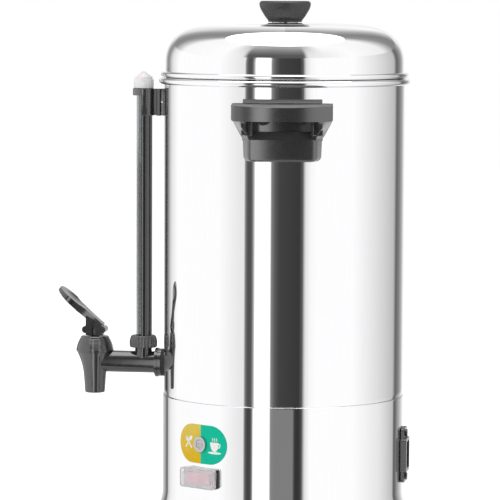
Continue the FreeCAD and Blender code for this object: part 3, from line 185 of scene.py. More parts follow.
below = ramp(nodes, [
    (card(-180), 0.8), (card(-160), 0.6), (card(-149), 0.34), (card(-142.5), 0.12), (card(-140.5), 0.14),
    (card(-138.5), 0.54), (card(-136), 0.65), (card(-130), 0.85), (card(-117), 0.98), (card(-60), 1.0),
    (card(-42), 0.83), (card(-36.2), 0.8), (card(-35), 0.1), (card(-32), 0.05), (card(-29), 0.07),
    (card(-27.4), 0.45), (card(-26.4), 1.7), (card(-13.2), 1.7), (card(-11.8), 0.25), (card(-8), 0.21),
    (card(9), 0.21), (card(10), 0.035), (card(15), 0.035), (card(17), 0.12), (card(19.2), 0.75),
    (card(24), 1.0), (card(66), 1.0), (card(100), 0.8), (card(124.5), 0.5), (card(127), 0.12),
    (card(130), 0.12), (card(160), 0.92)])
over = ramp(nodes, [
    (card(-180), 0.95), (card(-164), 0.7), (card(-156), 0.35), (card(-148), 0.24), (card(-138), 0.25),
    (card(-126), 0.6), (card(-116), 0.95), (card(-62), 1.0), (card(-40), 0.8), (card(-35), 0.1),
    (card(18), 0.1), (card(22), 0.8), (card(66), 1.0), (card(112), 0.85), (card(124), 0.5),
    (card(134), 0.25), (card(150), 0.22), (card(160), 0.5), (card(168), 0.9)])
tops = ramp(nodes, [
    (card(-180), 0.5), (card(-160), 0.3), (card(-145), 0.25), (card(-130), 0.3), (card(-112), 0.95),
    (card(-60), 1.0), (card(-36), 0.45), (card(-12), 0.37), (card(18), 0.4), (card(40), 1.0),
    (card(108), 0.95), (card(128), 0.3), (card(145), 0.23), (card(160), 0.35)])
for shades in (stripes, below, level, over, tops):
    links.new(around.outputs[0], shades.inputs[0])
glow = node(nodes, "ShaderNodeEmission")
glow.inputs["Strength"].default_value = 1.2
shown = below
layers = ((-0.013, -0.009, stripes), (0.37, 0.41, level), (0.74, 0.81, over), (0.95, 1.9, tops))
for start, end, shades in layers:
    upwards = node(nodes, "ShaderNodeMapRange", _1=start, _2=end, _3=0.0, _4=1.0)
    links.new(split.outputs[2], upwards.inputs[0])
    faded = node(nodes, "ShaderNodeMix", data_type="RGBA")
    links.new(upwards.outputs[0], faded.inputs[0])
    links.new(shown.outputs[0 if shown is below else 2], faded.inputs[6])
    links.new(shades.outputs[0], faded.inputs[7])
    shown = faded
links.new(faded.outputs[2], glow.inputs["Color"])
links.new(glow.outputs[0], node(nodes, "ShaderNodeOutputMaterial").inputs[0])
tent.data.materials.append(cards)

roof_mesh = bmesh.new()
bmesh.ops.create_circle(roof_mesh, cap_ends=True, segments=96, radius=tent_radius)
bmesh.ops.translate(roof_mesh, verts=roof_mesh.verts[:], vec=(0, axis_y, tent_top))
roof = mesh_object("tent_roof", roof_mesh, None)
roof_glow = 3.2
softbox = bpy.data.materials.new("tent roof softbox")
softbox.use_nodes = True
nodes, links = softbox.node_tree.nodes, softbox.node_tree.links
nodes.clear()
links.new(node(nodes, "ShaderNodeEmission", _0=(1, 1, 1, 1), _1=roof_glow).outputs[0],
          node(nodes, "ShaderNodeOutputMaterial").inputs[0])
roof.data.materials.append(softbox)
for board in (tent, roof):
    board.visible_camera = board.visible_diffuse = board.visible_shadow = False
    board.visible_transmission = board.visible_volume_scatter = False

for name, spot, aim_z, size, power in (
        ("key", (1.6, -1.5, 1.7), 0.30, 1.1, 16.0), ("fill", (1.7, 1.7, 1.1), 0.30, 1.0, 9.0),
        ("rear", (-1.8, -0.6, 1.5), 0.35, 1.0, 9.0)):
    lamp = bpy.data.objects.new(name, bpy.data.lights.new(name, "AREA"))
    lamp.data.shape, lamp.data.size, lamp.data.size_y = "RECTANGLE", size, size
    lamp.data.energy = power
    lamp.visible_glossy = False
    scene.collection.objects.link(lamp)
    spot = Vector(spot)
    lamp.matrix_world = Matrix.Translation(spot) @ (Vector((0, axis_y, aim_z)) - spot).to_track_quat(
        "-Z", "Y").to_matrix().to_4x4()


floor_mesh = bmesh.new()
bmesh.ops.create_grid(floor_mesh, x_segments=1, y_segments=1, size=6.0)
floor = mesh_object("floor", floor_mesh, None)
floor.visible_glossy = False
floor_finish = bpy.data.materials.new("pale floor")
floor_finish.use_nodes = True
nodes, links = floor_finish.node_tree.nodes, floor_finish.node_tree.links
paint = nodes["Principled BSDF"]
paint.inputs["Base Color"].default_value = (0.85, 0.85, 0.85, 1)
paint.inputs["Roughness"].default_value = 0.9
paint.inputs["Specular IOR Level"].default_value = 0.1
rays = node(nodes, "ShaderNodeLightPath")
lit = node(nodes, "ShaderNodeEmission", _0=(1, 1, 1, 1), _1=0.45)
both = node(nodes, "ShaderNodeAddShader")
links.new(paint.outputs[0], both.inputs[0])
links.new(lit.outputs[0], both.inputs[1])
whiter = node(nodes, "ShaderNodeMixShader")
links.new(rays.outputs["Is Camera Ray"], whiter.inputs[0])
links.new(paint.outputs[0], whiter.inputs[1])
links.new(both.outputs[0], whiter.inputs[2])
links.new(whiter.outputs[0], nodes["Material Output"].inputs[0])
floor.data.materials.append(floor_finish)

# The base skirt: a tall ring of stainless sheet, mirror polished, with a flared foot and a turned
# edge that carries the bottom plate. It is rolled, welded at the back and polished with its lamp,
# switch and inlet holes already cut.


def profile(*steps):
    """Points of a section in metres from millimetres: a step is a point, or an arc as
    (centre radius, centre height, radius, first angle, last angle, count)."""
    points = []
    for step in steps:
        if len(step) == 2:
            points.append(step)
            continue
        x, z, reach, first, last, count = step
        for index in range(count + 1):
            bearing = math.radians(first + (last - first) * index / count)
            points.append((x + reach * math.cos(bearing), z + reach * math.sin(bearing)))
    return [(x / 1000, z / 1000) for x, z in points]


def spun(points, steps=192, centre_y=0.0, closed=True):
    """A ring or a solid turned about a vertical axis from its section, as on a spinning lathe."""
    builder = bmesh.new()
    corners = [builder.verts.new((x, axis_y + centre_y, z)) for x, z in points]
    for index in range(len(corners) - (0 if closed else 1)):
        builder.edges.new((corners[index], corners[(index + 1) % len(corners)]))
    bmesh.ops.spin(builder, geom=builder.verts[:] + builder.edges[:], cent=(0, axis_y + centre_y, 0),
                   axis=(0, 0, 1), angle=2 * math.pi, steps=steps, use_merge=True)
    bmesh.ops.remove_doubles(builder, verts=builder.verts[:], dist=1e-6)
    bmesh.ops.recalc_face_normals(builder, faces=builder.faces[:])
    for face in builder.faces:
        face.smooth = True
    return builder


def dressed(name, colour, roughness, metallic=0.0, grain=(400, 400, 400), tint=0.05, wear=0.15, bump=0.05,
            detail=3.0, coat=0.0, specular=0.5, ior=1.5, upward_grey=0.0):
    """A finish whose colour, gloss and surface vary a little with a grain stretched by its scale,
    and that turns greyer and rougher where it faces up."""
    made = bpy.data.materials.new(name)
    made.use_nodes = True
    tree, wires = made.node_tree.nodes, made.node_tree.links
    shader = tree["Principled BSDF"]
    shader.inputs["Metallic"].default_value = metallic
    shader.inputs["Coat Weight"].default_value = coat
    shader.inputs["Coat Roughness"].default_value = 0.05
    shader.inputs["Specular IOR Level"].default_value = specular
    shader.inputs["IOR"].default_value = ior
    place = node(tree, "ShaderNodeTexCoord")
    stretch = node(tree, "ShaderNodeMapping")
    stretch.inputs["Scale"].default_value = grain
    wires.new(place.outputs["Object"], stretch.inputs[0])
    noise = node(tree, "ShaderNodeTexNoise")
    noise.inputs["Scale"].default_value = 1.0
    noise.inputs["Detail"].default_value = detail
    wires.new(stretch.outputs[0], noise.inputs["Vector"])
    shades = ramp(tree, [(0.3, tuple(c * (1 - tint) for c in colour)),
                         (0.7, tuple(min(1.0, c * (1 + tint)) for c in colour))])
    wires.new(noise.outputs["Fac"], shades.inputs[0])
    facing = node(tree, "ShaderNodeSeparateXYZ")
    wires.new(place.outputs["Normal"], facing.inputs[0])
    # where a face points up, its colour is mixed towards a mid grey and its gloss made rougher
    upward_share = node(tree, "ShaderNodeMapRange", _1=0.35, _2=0.95, _3=0.0, _4=upward_grey)
    wires.new(facing.outputs[2], upward_share.inputs[0])
    greyed_upward = node(tree, "ShaderNodeMix", data_type="RGBA", _7=(0.6, 0.6, 0.6, 1))
    wires.new(upward_share.outputs[0], greyed_upward.inputs[0])
    wires.new(shades.outputs[0], greyed_upward.inputs[6])
    wires.new(greyed_upward.outputs[2], shader.inputs["Base Color"])
    gloss = node(tree, "ShaderNodeMapRange", _1=0.3, _2=0.7, _3=roughness * (1 - wear),
                 _4=roughness * (1 + wear))
    wires.new(noise.outputs["Fac"], gloss.inputs[0])
    dulled = node(tree, "ShaderNodeMath", operation="MULTIPLY_ADD", _1=6.0)
    wires.new(upward_share.outputs[0], dulled.inputs[0])
    wires.new(gloss.outputs[0], dulled.inputs[2])
    wires.new(dulled.outputs[0], shader.inputs["Roughness"])
    if bump:
        relief = node(tree, "ShaderNodeBump")
        relief.inputs["Strength"].default_value = bump
        relief.inputs["Distance"].default_value = 0.0002
        wires.new(noise.outputs["Fac"], relief.inputs["Height"])
        wires.new(relief.outputs[0], shader.inputs["Normal"])
    return made


def paint_piece(piece, finish):
    """Gives a new piece its one finish."""
    piece.data.materials.clear()
    piece.data.materials.append(finish)


def paint_nodes(finish, *names):
    """Gives carried CAD nodes a finish in all their material slots."""
    for name in names:
        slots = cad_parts[name].material_slots
        for slot in slots:
            slot.material = finish


polished_steel = dressed("polished steel", (0.82, 0.82, 0.83), 0.009, 1.0, (900, 900, 30), 0.01, 0.25, 0.0015)
seam = 140.0
skirt_radius = 110.6
flare_start, flare_bend, flare_turn = 52.0, 38.0, 41
flare_centre = skirt_radius + flare_bend
foot_radius = flare_centre - flare_bend * math.cos(math.radians(flare_turn))
sheet, foot_edge = 0.8, 14.0
skirt = mesh_object("skirt_sheet", spun(profile(
    (skirt_radius - sheet, seam - 0.1), (skirt_radius - 0.55, seam - 0.1),
    (skirt_radius - 0.55, seam - 0.65, 0.55, 90, 0, 5), (skirt_radius, seam - 0.9), (skirt_radius, seam - 2),
    (skirt_radius, 120), (skirt_radius, 90), (skirt_radius, flare_start + 2),
    (skirt_radius, flare_start + 0.5),
    (flare_centre, flare_start, flare_bend, 180, 180 + flare_turn, 16), (foot_radius, 26), (foot_radius, 20),
    (foot_radius, foot_edge + 0.6), (foot_radius - 0.6, foot_edge + 0.6, 0.6, 0, -90, 4),
    (foot_radius - 10, foot_edge), (foot_radius - 10, foot_edge + sheet),
    (foot_radius - sheet, foot_edge + sheet), (foot_radius - sheet, 20),
    (flare_centre, flare_start, flare_bend + sheet, 180 + flare_turn, 180, 16),
    (skirt_radius - sheet, 90))), "urn")
paint_piece(skirt, polished_steel)
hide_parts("skirt")

# The feet, bottom plate and electric parts inside the base. Rubber feet are screwed through the
# galvanised plate, three studs on the pot's floor hold it up, and the pump heater, the keep warm
# element, the thermostat and the cut-out are pressed against the pot's floor.
galvanised = dressed("galvanised sheet", (0.52, 0.54, 0.56), 0.45, 0.9, (60, 60, 60), 0.25, 0.3, 0.1, 6.0)
bright_steel = dressed("bright steel", (0.72, 0.72, 0.73), 0.22, 1.0, (500, 500, 120), 0.05, 0.3, 0.05)
cast_metal = dressed("cast metal", (0.50, 0.50, 0.50), 0.5, 0.9, (300, 300, 300), 0.15, 0.3, 0.3)
black_rubber = dressed("black rubber", (0.018, 0.018, 0.018), 0.75, 0.0, (500, 500, 500), 0.3, 0.15, 0.3)
phenolic = dressed("black phenolic", (0.03, 0.03, 0.03), 0.45, 0.0, (350, 350, 350), 0.3, 0.2, 0.2)
ceramic = dressed("glazed cream ceramic", (0.85, 0.80, 0.70), 0.2, 0.0, (80, 80, 80), 0.05, 0.3, 0.05)
lead_sleeve = dressed("woven lead sleeve", (0.62, 0.60, 0.54), 0.7, 0.0, (1500, 1500, 1500), 0.2, 0.1, 0.3)
brass = dressed("turned brass", (0.80, 0.62, 0.30), 0.28, 1.0, (400, 400, 400), 0.08, 0.3, 0.05)
paint_nodes(galvanised, "bottom_plate")
paint_nodes(bright_steel, "foot_screws", "foot_nuts", "base_studs", "base_nuts")
paint_nodes(cast_metal, "pump_heater", "warm_element")
paint_nodes(black_rubber, "feet", "tap_gasket")
paint_nodes(phenolic, "thermostat", "thermal_cutout")
paint_nodes(ceramic, "terminal_block")
paint_nodes(lead_sleeve, "leads")
paint_nodes(brass, "earth_stud", "inlet_pins")

# The label, lamp and rocker switch on the side of the base. The label is printed film, yellow on
# its left half and green on its right, with a satin bezel and a milky lens in its middle. The
# rocker is red and lit through its plastic, under a clear soft hood.
# satin black turns a little grey and rougher where it faces up
satin_black = dressed("satin black plastic", (0.025, 0.025, 0.026), 0.2, 0.0, (700, 700, 700),
                      0.15, 0.1, 0.04, specular=0.9, ior=1.7, upward_grey=0.09)
gloss_black = dressed("glossy black plastic", (0.020, 0.020, 0.021), 0.1, 0.0, (250, 250, 250),
                      0.15, 0.2, 0.02, specular=0.8, ior=1.65)
white_plastic = dressed("milky white plastic", (0.83, 0.83, 0.82), 0.35, 0.0, (400, 400, 400),
                        0.02, 0.2, 0.08)
milkiness = white_plastic.node_tree.nodes["Principled BSDF"].inputs
milkiness["Subsurface Weight"].default_value = 0.3
milkiness["Subsurface Scale"].default_value = 0.003
silicone = dressed("milky silicone", (0.70, 0.70, 0.68), 0.5, 0.0, (300, 300, 300), 0.05, 0.2, 0.1)
red_plastic = dressed("lit red plastic", (1.0, 0.60, 0.68), 0.25, 0.0, (300, 300, 300), 0.06, 0.2, 0.03)
pale_ink = dressed("pale ink", (0.86, 0.87, 0.85), 0.35, 0.0, (500, 500, 500), 0.04, 0.2, 0.0)
panel_turn = math.radians(57.5)
label_level = seam - 35.5
label_face = skirt_radius + 0.6
label_half_height = 17


def across_panel(tree_nodes, tree_links):
    """Distance across the panel in metres, to the right of its middle, from object coordinates."""
    spot = node(tree_nodes, "ShaderNodeTexCoord")
    from_axis = node(tree_nodes, "ShaderNodeVectorMath", operation="SUBTRACT", _1=(0, axis_y, 0))
    tree_links.new(spot.outputs["Object"], from_axis.inputs[0])
    across = node(tree_nodes, "ShaderNodeVectorMath", operation="DOT_PRODUCT",
                  _1=(math.cos(panel_turn), math.sin(panel_turn), 0))
    tree_links.new(from_axis.outputs[0], across.inputs[0])
    return across.outputs["Value"], spot.outputs["Object"]


label_film = dressed("printed film", (1, 1, 1), 0.22, 0.0, (260, 260, 260), 0.03, 0.2, 0.015, specular=0.12)
nodes, links = label_film.node_tree.nodes, label_film.node_tree.links
across, spot = across_panel(nodes, links)
side = node(nodes, "ShaderNodeMath", operation="GREATER_THAN", _1=0.0)
links.new(across, side.inputs[0])
height = node(nodes, "ShaderNodeSeparateXYZ")
links.new(spot, height.inputs[0])
rise = node(nodes, "ShaderNodeMapRange", _1=(label_level - label_half_height) / 1000,
            _2=(label_level + label_half_height) / 1000)
links.new(height.outputs[2], rise.inputs[0])
yellow = ramp(nodes, [(0.0, (0.74, 0.47, 0.0)), (1.0, (0.74, 0.57, 0.10))])
links.new(rise.outputs[0], yellow.inputs[0])
halves = node(nodes, "ShaderNodeMix", data_type="RGBA", _7=(0.0, 0.52, 0.33, 1))
links.new(side.outputs[0], halves.inputs[0])
links.new(yellow.outputs[0], halves.inputs[6])
tinted = node(nodes, "ShaderNodeMix", data_type="RGBA", blend_type="MULTIPLY", _0=1.0)
links.new(halves.outputs[2], tinted.inputs[6])
shader = nodes["Principled BSDF"]
links.new(shader.inputs["Base Color"].links[0].from_socket, tinted.inputs[7])
links.new(tinted.outputs[2], shader.inputs["Base Color"])

pale_housing = dressed("pale switch plastic", (1, 1, 1), 0.3, 0.0, (400, 400, 400), 0.05, 0.2, 0.03)
nodes, links = pale_housing.node_tree.nodes, pale_housing.node_tree.links
across, spot = across_panel(nodes, links)
# the housing is pale, and its right end is painted near black as a painted dark reflection of the hood's side
pale, painted_dark_reflection = (0.72, 0.69, 0.70), (0.015, 0.015, 0.015)
end = ramp(nodes, [(0.0, pale), (0.93, pale), (0.97, painted_dark_reflection)])
reach = node(nodes, "ShaderNodeMapRange", _1=-0.02, _2=0.02)
links.new(across, reach.inputs[0])
links.new(reach.outputs[0], end.inputs[0])
links.new(end.outputs[0], nodes["Principled BSDF"].inputs["Base Color"])


def oval(across, up, half_width, half_height, first=0, last=360, count=20):
    """Points round an oval or a part of one, in millimetres across and up."""
    turns = [math.radians(first + (last - first) * i / count) for i in range(count + (last - first < 360))]
    return [(across + half_width * math.cos(t), up + half_height * math.sin(t)) for t in turns]


def bar(start, end, width):
    """The four corners of a straight bar between two points."""
    start, end = Vector(start), Vector(end)
    run = end - start
    out = Vector((-run.y, run.x)).normalized() * width / 2
    return [tuple(start + out), tuple(start - out), tuple(end - out), tuple(end + out)]


# the marks: a crossed fork and spoon on the left half, a steaming cup on the right half
lean_across, lean_up = 0.62, 0.78
fork, spoon = Vector((-lean_across, lean_up)), Vector((lean_across, lean_up))
fork_side = Vector((lean_up, lean_across))
fork_neck, spoon_bowl = fork * 1.8, spoon * 4.6
marks = [bar(fork * -6.8, fork * 2.2, 1.3),
         bar(fork_neck - fork_side * 1.7, fork_neck + fork_side * 1.7, 1.2),
         bar(spoon * -6.8, spoon * 3.5, 1.3)]
marks += [bar(fork_neck + fork_side * gap, fork * 5.6 + fork_side * gap, 0.75) for gap in (-1.4, 0, 1.4)]
marks += [[(x * lean_up + y * lean_across + spoon_bowl.x, -x * lean_across + y * lean_up + spoon_bowl.y)
           for x, y in oval(0, 0, 1.7, 2.4)]]
cutlery, cup = -15.5, 15.8
marks = [[(x + cutlery, y) for x, y in mark] for mark in marks]
marks += [oval(cup, 1.8, 4.6, 8.4, 180, 360), oval(cup, -7.6, 7.2, 1.1),
          bar((cup + 4.2, 0.6), (cup + 6.4, 0.2), 0.9), bar((cup + 6.2, 0.6), (cup + 5.4, -2.6), 0.9),
          bar((cup + 5.6, -2.4), (cup + 2.8, -3.2), 0.9)]
for steam in (cup - 2.2, cup, cup + 2.2):
    marks += [bar((steam, 2.8), (steam + 0.6, 4.3), 0.7), bar((steam + 0.6, 4.1), (steam, 5.8), 0.7)]
ink_thickness, ink_gap, cut_step = 0.00008, 0.03, 0.002
print_mesh = bmesh.new()
for mark in marks:
    corners = [print_mesh.verts.new((x / 1000, 0, (label_level + y) / 1000)) for x, y in mark]
    made = bmesh.ops.extrude_face_region(print_mesh, geom=[print_mesh.faces.new(corners)])
    bmesh.ops.translate(print_mesh, verts=[v for v in made["geom"] if isinstance(v, bmesh.types.BMVert)],
                        vec=(0, ink_thickness, 0))
for step in range(-12, 13):
    bmesh.ops.bisect_plane(print_mesh, geom=print_mesh.verts[:] + print_mesh.edges[:] + print_mesh.faces[:],
                           plane_co=(step * cut_step, 0, 0), plane_no=(1, 0, 0))
for vert in print_mesh.verts:
    bearing = panel_turn + vert.co.x * 1000 / label_face
    reach = (label_face + ink_gap) / 1000 + vert.co.y
    vert.co = (reach * math.sin(bearing), axis_y - reach * math.cos(bearing), vert.co.z)
bmesh.ops.recalc_face_normals(print_mesh, faces=print_mesh.faces[:])
label_print = mesh_object("label_print", print_mesh, "urn")
paint_piece(label_print, pale_ink)


def clear(name, colour, roughness, ior, clearness=1.0, bump=0.0):
    """A clear moulding or glass with faint streaks in its gloss."""
    made = dressed(name, colour, roughness, 0.0, (120, 120, 30), 0.03, 0.2, bump)
    shader = made.node_tree.nodes["Principled BSDF"]
    shader.inputs["Transmission Weight"].default_value = clearness
    shader.inputs["IOR"].default_value = ior
    return made


satin_bezel = dressed("satin bezel", (0.50, 0.48, 0.49), 0.35, 1.0, (600, 600, 600), 0.05, 0.15, 0.02)
clear_hood = clear("frosted soft plastic", (0.97, 0.95, 0.96), 0.22, 1.3, 0.78, 0.02)
lens_plastic = clear("milky lens", (0.70, 0.68, 0.68), 0.3, 1.4, 0.6)
clear_tube = clear("smoky gauge tube", (0.42, 0.43, 0.44), 0.015, 1.25)
paint_nodes(label_film, "label_plate")
paint_nodes(satin_bezel, "lamp_bezel")
paint_nodes(lens_plastic, "lamp_lens")
paint_nodes(satin_black, "lamp_nut")
paint_nodes(pale_housing, "switch_housing")
paint_nodes(red_plastic, "rocker")
paint_nodes(clear_hood, "splash_cover")

# The mains inlet on the back edge of the base: a black moulded housing with three brass pins,
# held by two screws and nuts through the skirt.
paint_nodes(satin_black, "inlet_housing")
paint_nodes(satin_black, "inlet_screws")
paint_nodes(bright_steel, "inlet_nuts")

# The pot: deep drawn stainless steel, polished to a mirror, with a rolled rim over a bead. Its
# lower edge is set in a little and sits inside the skirt.
pot_radius = 110.0
rim = 430.0
bead, bead_out = 3.0, 1.9
bead_place = (pot_radius + bead_out, rim - 0.3 - bead)
bead_turn = math.degrees(math.acos(bead_out / bead))
sunk = 129.0
pot = mesh_object("pot_shell", spun(profile(
    (0.0, sunk), (101.5, sunk), (101.5, sunk + 8, 8.0, -90, 0, 8), (109.5, seam - 0.5), (109.6, seam - 0.2),
    (pot_radius - 0.1, seam + 0.2), (pot_radius, seam + 0.5), (pot_radius, seam + 0.8),
    (pot_radius, seam + 2),
    (pot_radius, 180), (pot_radius, 260), (pot_radius, 340), (pot_radius, 400),
    (pot_radius, bead_place[1] - 4), (pot_radius, bead_place[1] - 2.5),
    (*bead_place, bead, -180 + bead_turn, 180 - bead_turn, 20),
    (pot_radius - 1, rim - 1.0), (pot_radius - 1, 400), (pot_radius - 1, 260), (pot_radius - 1, seam + 2.8),
    (108.5, seam - 2.8), (101.5, sunk + 8, 7.0, 0, -90, 8), (0.0, sunk + 1)), closed=False), "urn")
paint_piece(pot, polished_steel)
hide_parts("pot")

# The two scoop handles: black phenolic mouldings. A curved back plate is screwed to the pot from
# inside, a hollow lip stands out for the fingers, and two wings run down to a solid block.


def softened(builder, degrees=20):
    """Smooth faces with crisp lines where two of them meet at more than this angle."""
    bmesh.ops.recalc_face_normals(builder, faces=builder.faces[:])
    for face in builder.faces:
        face.smooth = True
    for edge in builder.edges:
        edge.smooth = edge.calc_face_angle(0) < math.radians(degrees)
    return builder


def lofted(builder, rings):
    """A closed solid in a builder, skinned from ring to ring, each a list of as many points."""
    corners = [builder.verts.new(point) for point in rings[0]]
    edges = [builder.edges.new((corners[i - 1], corners[i])) for i in range(len(corners))]
    builder.faces.new(corners)
    for ring in rings[1:]:
        made = bmesh.ops.extrude_edge_only(builder, edges=edges)["geom"]
        fresh = {v for v in made if isinstance(v, bmesh.types.BMVert)}
        edges = [e for e in made if isinstance(e, bmesh.types.BMEdge)
                 and e.verts[0] in fresh and e.verts[1] in fresh]
        raised = []
        for corner, point in zip(corners, ring):
            above = next(e.other_vert(corner) for e in corner.link_edges if e.other_vert(corner) in fresh)
            above.co = point
            raised.append(above)
        corners = raised
    builder.faces.new(corners)


def rounded(before, corner, after, size, count=4):
    """Points that round a corner between two neighbours, each end this far from it."""
    before, corner, after = Vector(before), Vector(corner), Vector(after)
    start = corner + (before - corner).normalized() * size
    end = corner + (after - corner).normalized() * size
    steps = [i / count for i in range(count + 1)]
    return [start * (1 - t) ** 2 + corner * 2 * t * (1 - t) + end * t * t for t in steps]


def slab(builder, low, high, soft, cuts=0):
    """A box in millimetres with rounded edges, cut across so that it can be bent."""
    low, high = Vector(low), Vector(high)
    made = bmesh.ops.create_cube(builder, size=1.0, matrix=Matrix.LocRotScale(
        (low + high) / 2, None, high - low))
    edges = list({edge for vert in made["verts"] for edge in vert.link_edges})
    if soft:
        made = bmesh.ops.bevel(builder, geom=edges, offset=soft, segments=2, profile=0.5, affect="EDGES",
                               material=-1)
    verts = {v for face in made["faces"] for v in face.verts} if soft else set(made["verts"])
    verts |= {e.other_vert(v) for v in verts for e in v.link_edges}
    for index in range(1, cuts + 1):
        place = low.x + (high.x - low.x) * index / (cuts + 1)
        geom = (list(verts) + list({e for v in verts for e in v.link_edges})
                + list({f for v in verts for f in v.link_faces}))
        made = bmesh.ops.bisect_plane(builder, geom=geom, plane_co=(place, 0, 0), plane_no=(1, 0, 0))
        verts |= {v for v in made["geom_cut"] if isinstance(v, bmesh.types.BMVert)}
    return verts


plate_top, handle_foot = rim - 16.5, 360.0
lip_top, lip_low, block_top = plate_top - 6.1, plate_top - 18.3, 379.0
plate_half, lip_half, lip_reach = 35.1, 44.5, pot_radius + 38.6
plate_back, plate_front, block_front = pot_radius + 0.1, pot_radius + 4.3, pot_radius + 11.5
lip_bend, block_bend = 114.0, 190.0
lip_back, lip_corner, lip_wall, lip_hollow = 102.0, 3.6, 2.4, 8.4
floor_drop, foot_round, corner_round = 1.3, 3.2, 4.6
handle_turn = math.radians(98.0)


def arc_reach(across, reach, bend):
    """Distance out of a front that bends round, at a distance across."""
    return reach - bend + math.sqrt(bend ** 2 - across ** 2)


def flare(z):
    """How far the wings have opened between the block, 0, and the lip, 1."""
    return max(0.0, (z - block_top) / (lip_low - block_top))


def at_wall(across):
    """Distance out of the handle's back, which follows the pot, at a distance across."""
    return math.sqrt(plate_back ** 2 - across ** 2)


def quarter(up, radius):
    """How far a quarter round draws in at a height above its foot."""
    return radius - math.sqrt(max(0.0, radius ** 2 - (radius - up) ** 2)) if up < radius else 0.0


def back_plate(builder):
    """The curved plate, whose upper edge leans back to the pot."""
    for low, high, lean in ((handle_foot + 20, plate_top - 3.2, 0.0), (plate_top - 3.6, plate_top, 3.2)):
        for vert in slab(builder, (-plate_half, plate_back, low), (plate_half, plate_front, high), 0.4, 13):
            if vert.co.z > plate_top - 1 and vert.co.y > plate_back + 2:
                vert.co.y -= lean
            vert.co.y = math.sqrt(vert.co.y ** 2 - vert.co.x ** 2)


def finger_lip(builder):
    """The lip over the fingers: its plan is pushed up, rounded, and hollowed from below."""
    arc = [-lip_half + lip_half * 2 * i / 24 for i in range(25)]
    front = [Vector((x, arc_reach(x, lip_reach, lip_bend), lip_low)) for x in arc]
    side_left, side_right = Vector((-lip_half, lip_back, lip_low)), Vector((lip_half, lip_back, lip_low))
    plan = [side_left, *rounded(side_left, front[0], front[1], lip_corner), *front[1:-1],
            *rounded(front[-2], front[-1], side_right, lip_corner), side_right]
    plan += [Vector((x, at_wall(x), lip_low)) for x in range(40, -50, -10)]
    top_ring = []
    for point in plan:
        saddle = max(1.7 * (point.x / lip_half) ** 2, (lip_reach - point.y) / 20)
        top_ring.append(Vector((point.x, point.y, lip_top + saddle)))
    before = set(builder.edges)
    lofted(builder, [plan, top_ring])
    rims = [e for e in builder.edges if e not in before and abs(e.verts[0].co.z - e.verts[1].co.z) < 3
            and min(e.verts[0].co.y, e.verts[1].co.y) > lip_back + 0.5 and e.verts[0].co.xy.length > 114]
    bmesh.ops.bevel(builder, geom=rims, offset=2.0, segments=3, profile=0.5, affect="EDGES", material=-1)
    builder.faces.ensure_lookup_table()
    level_faces = [f for f in builder.faces if abs(f.normal.z) > 0.9
                   and abs(f.calc_center_median().z - lip_low) < 0.5]
    lip_floor = max(level_faces, key=lambda f: f.calc_area())
    bmesh.ops.inset_region(builder, faces=[lip_floor], thickness=lip_wall)
    for vert in lip_floor.verts:
        vert.co.z += lip_hollow


def lower_block(builder):
    """The solid block under the fingers, with a rounded foot and a top that steps in to the plate."""
    rings = []
    levels = [handle_foot - floor_drop + foot_round * (1 - math.cos(math.radians(a)))
              for a in (0, 22, 45, 68, 90)]
    levels += [handle_foot + 3, handle_foot + 7, handle_foot + 9, 373.0,
               block_top - 0.9, block_top - 0.3, block_top]
    for z in levels:
        up = z - handle_foot + floor_drop
        drawn = quarter(up, corner_round)
        top_cut = 0.0 if z < block_top - 0.5 else 0.35 if z < block_top else 0.9
        wide, narrow = 34.3 + 0.7 * (z - handle_foot) / 19 - drawn, 30.0 - drawn - top_cut
        reach = block_front - quarter(up, foot_round) - top_cut
        front = [Vector((x, arc_reach(x, reach, block_bend), z)) for x in
                 [-narrow + 2 * narrow * i / 16 for i in range(17)]]
        left, right = Vector((-wide, at_wall(wide), z)), Vector((wide, at_wall(wide), z))
        back = [Vector((x, at_wall(x), z)) for x in [wide * (0.75 - 0.25 * i) for i in range(7)]]
        rings.append([left, left.lerp(front[0], 0.5), *rounded(left, front[0], front[1], 2.2), *front[1:-1],
                      *rounded(front[-2], front[-1], right, 2.2), right.lerp(front[-1], 0.5), right, *back])
    rings.append([Vector((p.x * 0.96, min(p.y, plate_front + 1.6), block_top + 6.0)) for p in rings[-1]])
    lofted(builder, rings)


def wing(builder, side):
    """A side wall cut back towards the fingers, with the webs and the screw's boss beside it."""
    rings = []
    for z in (377.0, block_top, 380.6, 382.2, 383.8, 385.6, 387.4, 389.4, 391.4, 393.4, 395.4, 397.0):
        wide = min(44.4, 35.6 + 9.2 * flare(z) ** 0.93)
        narrow = 29.7 + 6.2 * min(1.0, 1.5 * flare(z)) ** 1.3
        lip_front = arc_reach(narrow, lip_reach, lip_bend)
        reach = min(block_front - 2.2 + 25.0 * flare(z) ** 1.25, lip_front - 0.8)
        back = Vector((wide, at_wall(wide), z))
        tip = Vector((narrow, reach, z))
        deep = Vector((narrow - 4.2, reach - 5.5, z))
        inner = Vector((wide - 5.0, back.y + 2.0, z))
        ring = [back, back.lerp(tip, 0.3), back.lerp(tip, 0.6), *rounded(back, tip, deep, 1.2, 3), deep,
                deep.lerp(inner, 0.5), inner]
        rings.append([Vector((side * p.x, p.y, p.z)) for p in ring])
    lofted(builder, rings)
    for across, half, behind, ahead, top, soft in (
            (27, 1, 2, 13, lip_top - 1, 0.4), (31.5, 4.5, 4, 9, lip_low + 1, 0.6)):
        slab(builder, (side * across - half, plate_front - behind, block_top + 3),
             (side * across + half, plate_front + ahead, top), soft)
    bmesh.ops.create_cone(builder, cap_ends=True, segments=32, radius1=5.5, radius2=5.5, depth=7.0,
                          matrix=Matrix.Translation((side * 17, plate_front + 1.5, 396.3))
                          @ Matrix.Rotation(math.pi / 2, 4, "X"))


def scoop():
    """One handle, drawn as across, out and up in millimetres."""
    builder = bmesh.new()
    back_plate(builder)
    finger_lip(builder)
    lower_block(builder)
    for side in (-1, 1):
        wing(builder, side)
    return softened(builder)


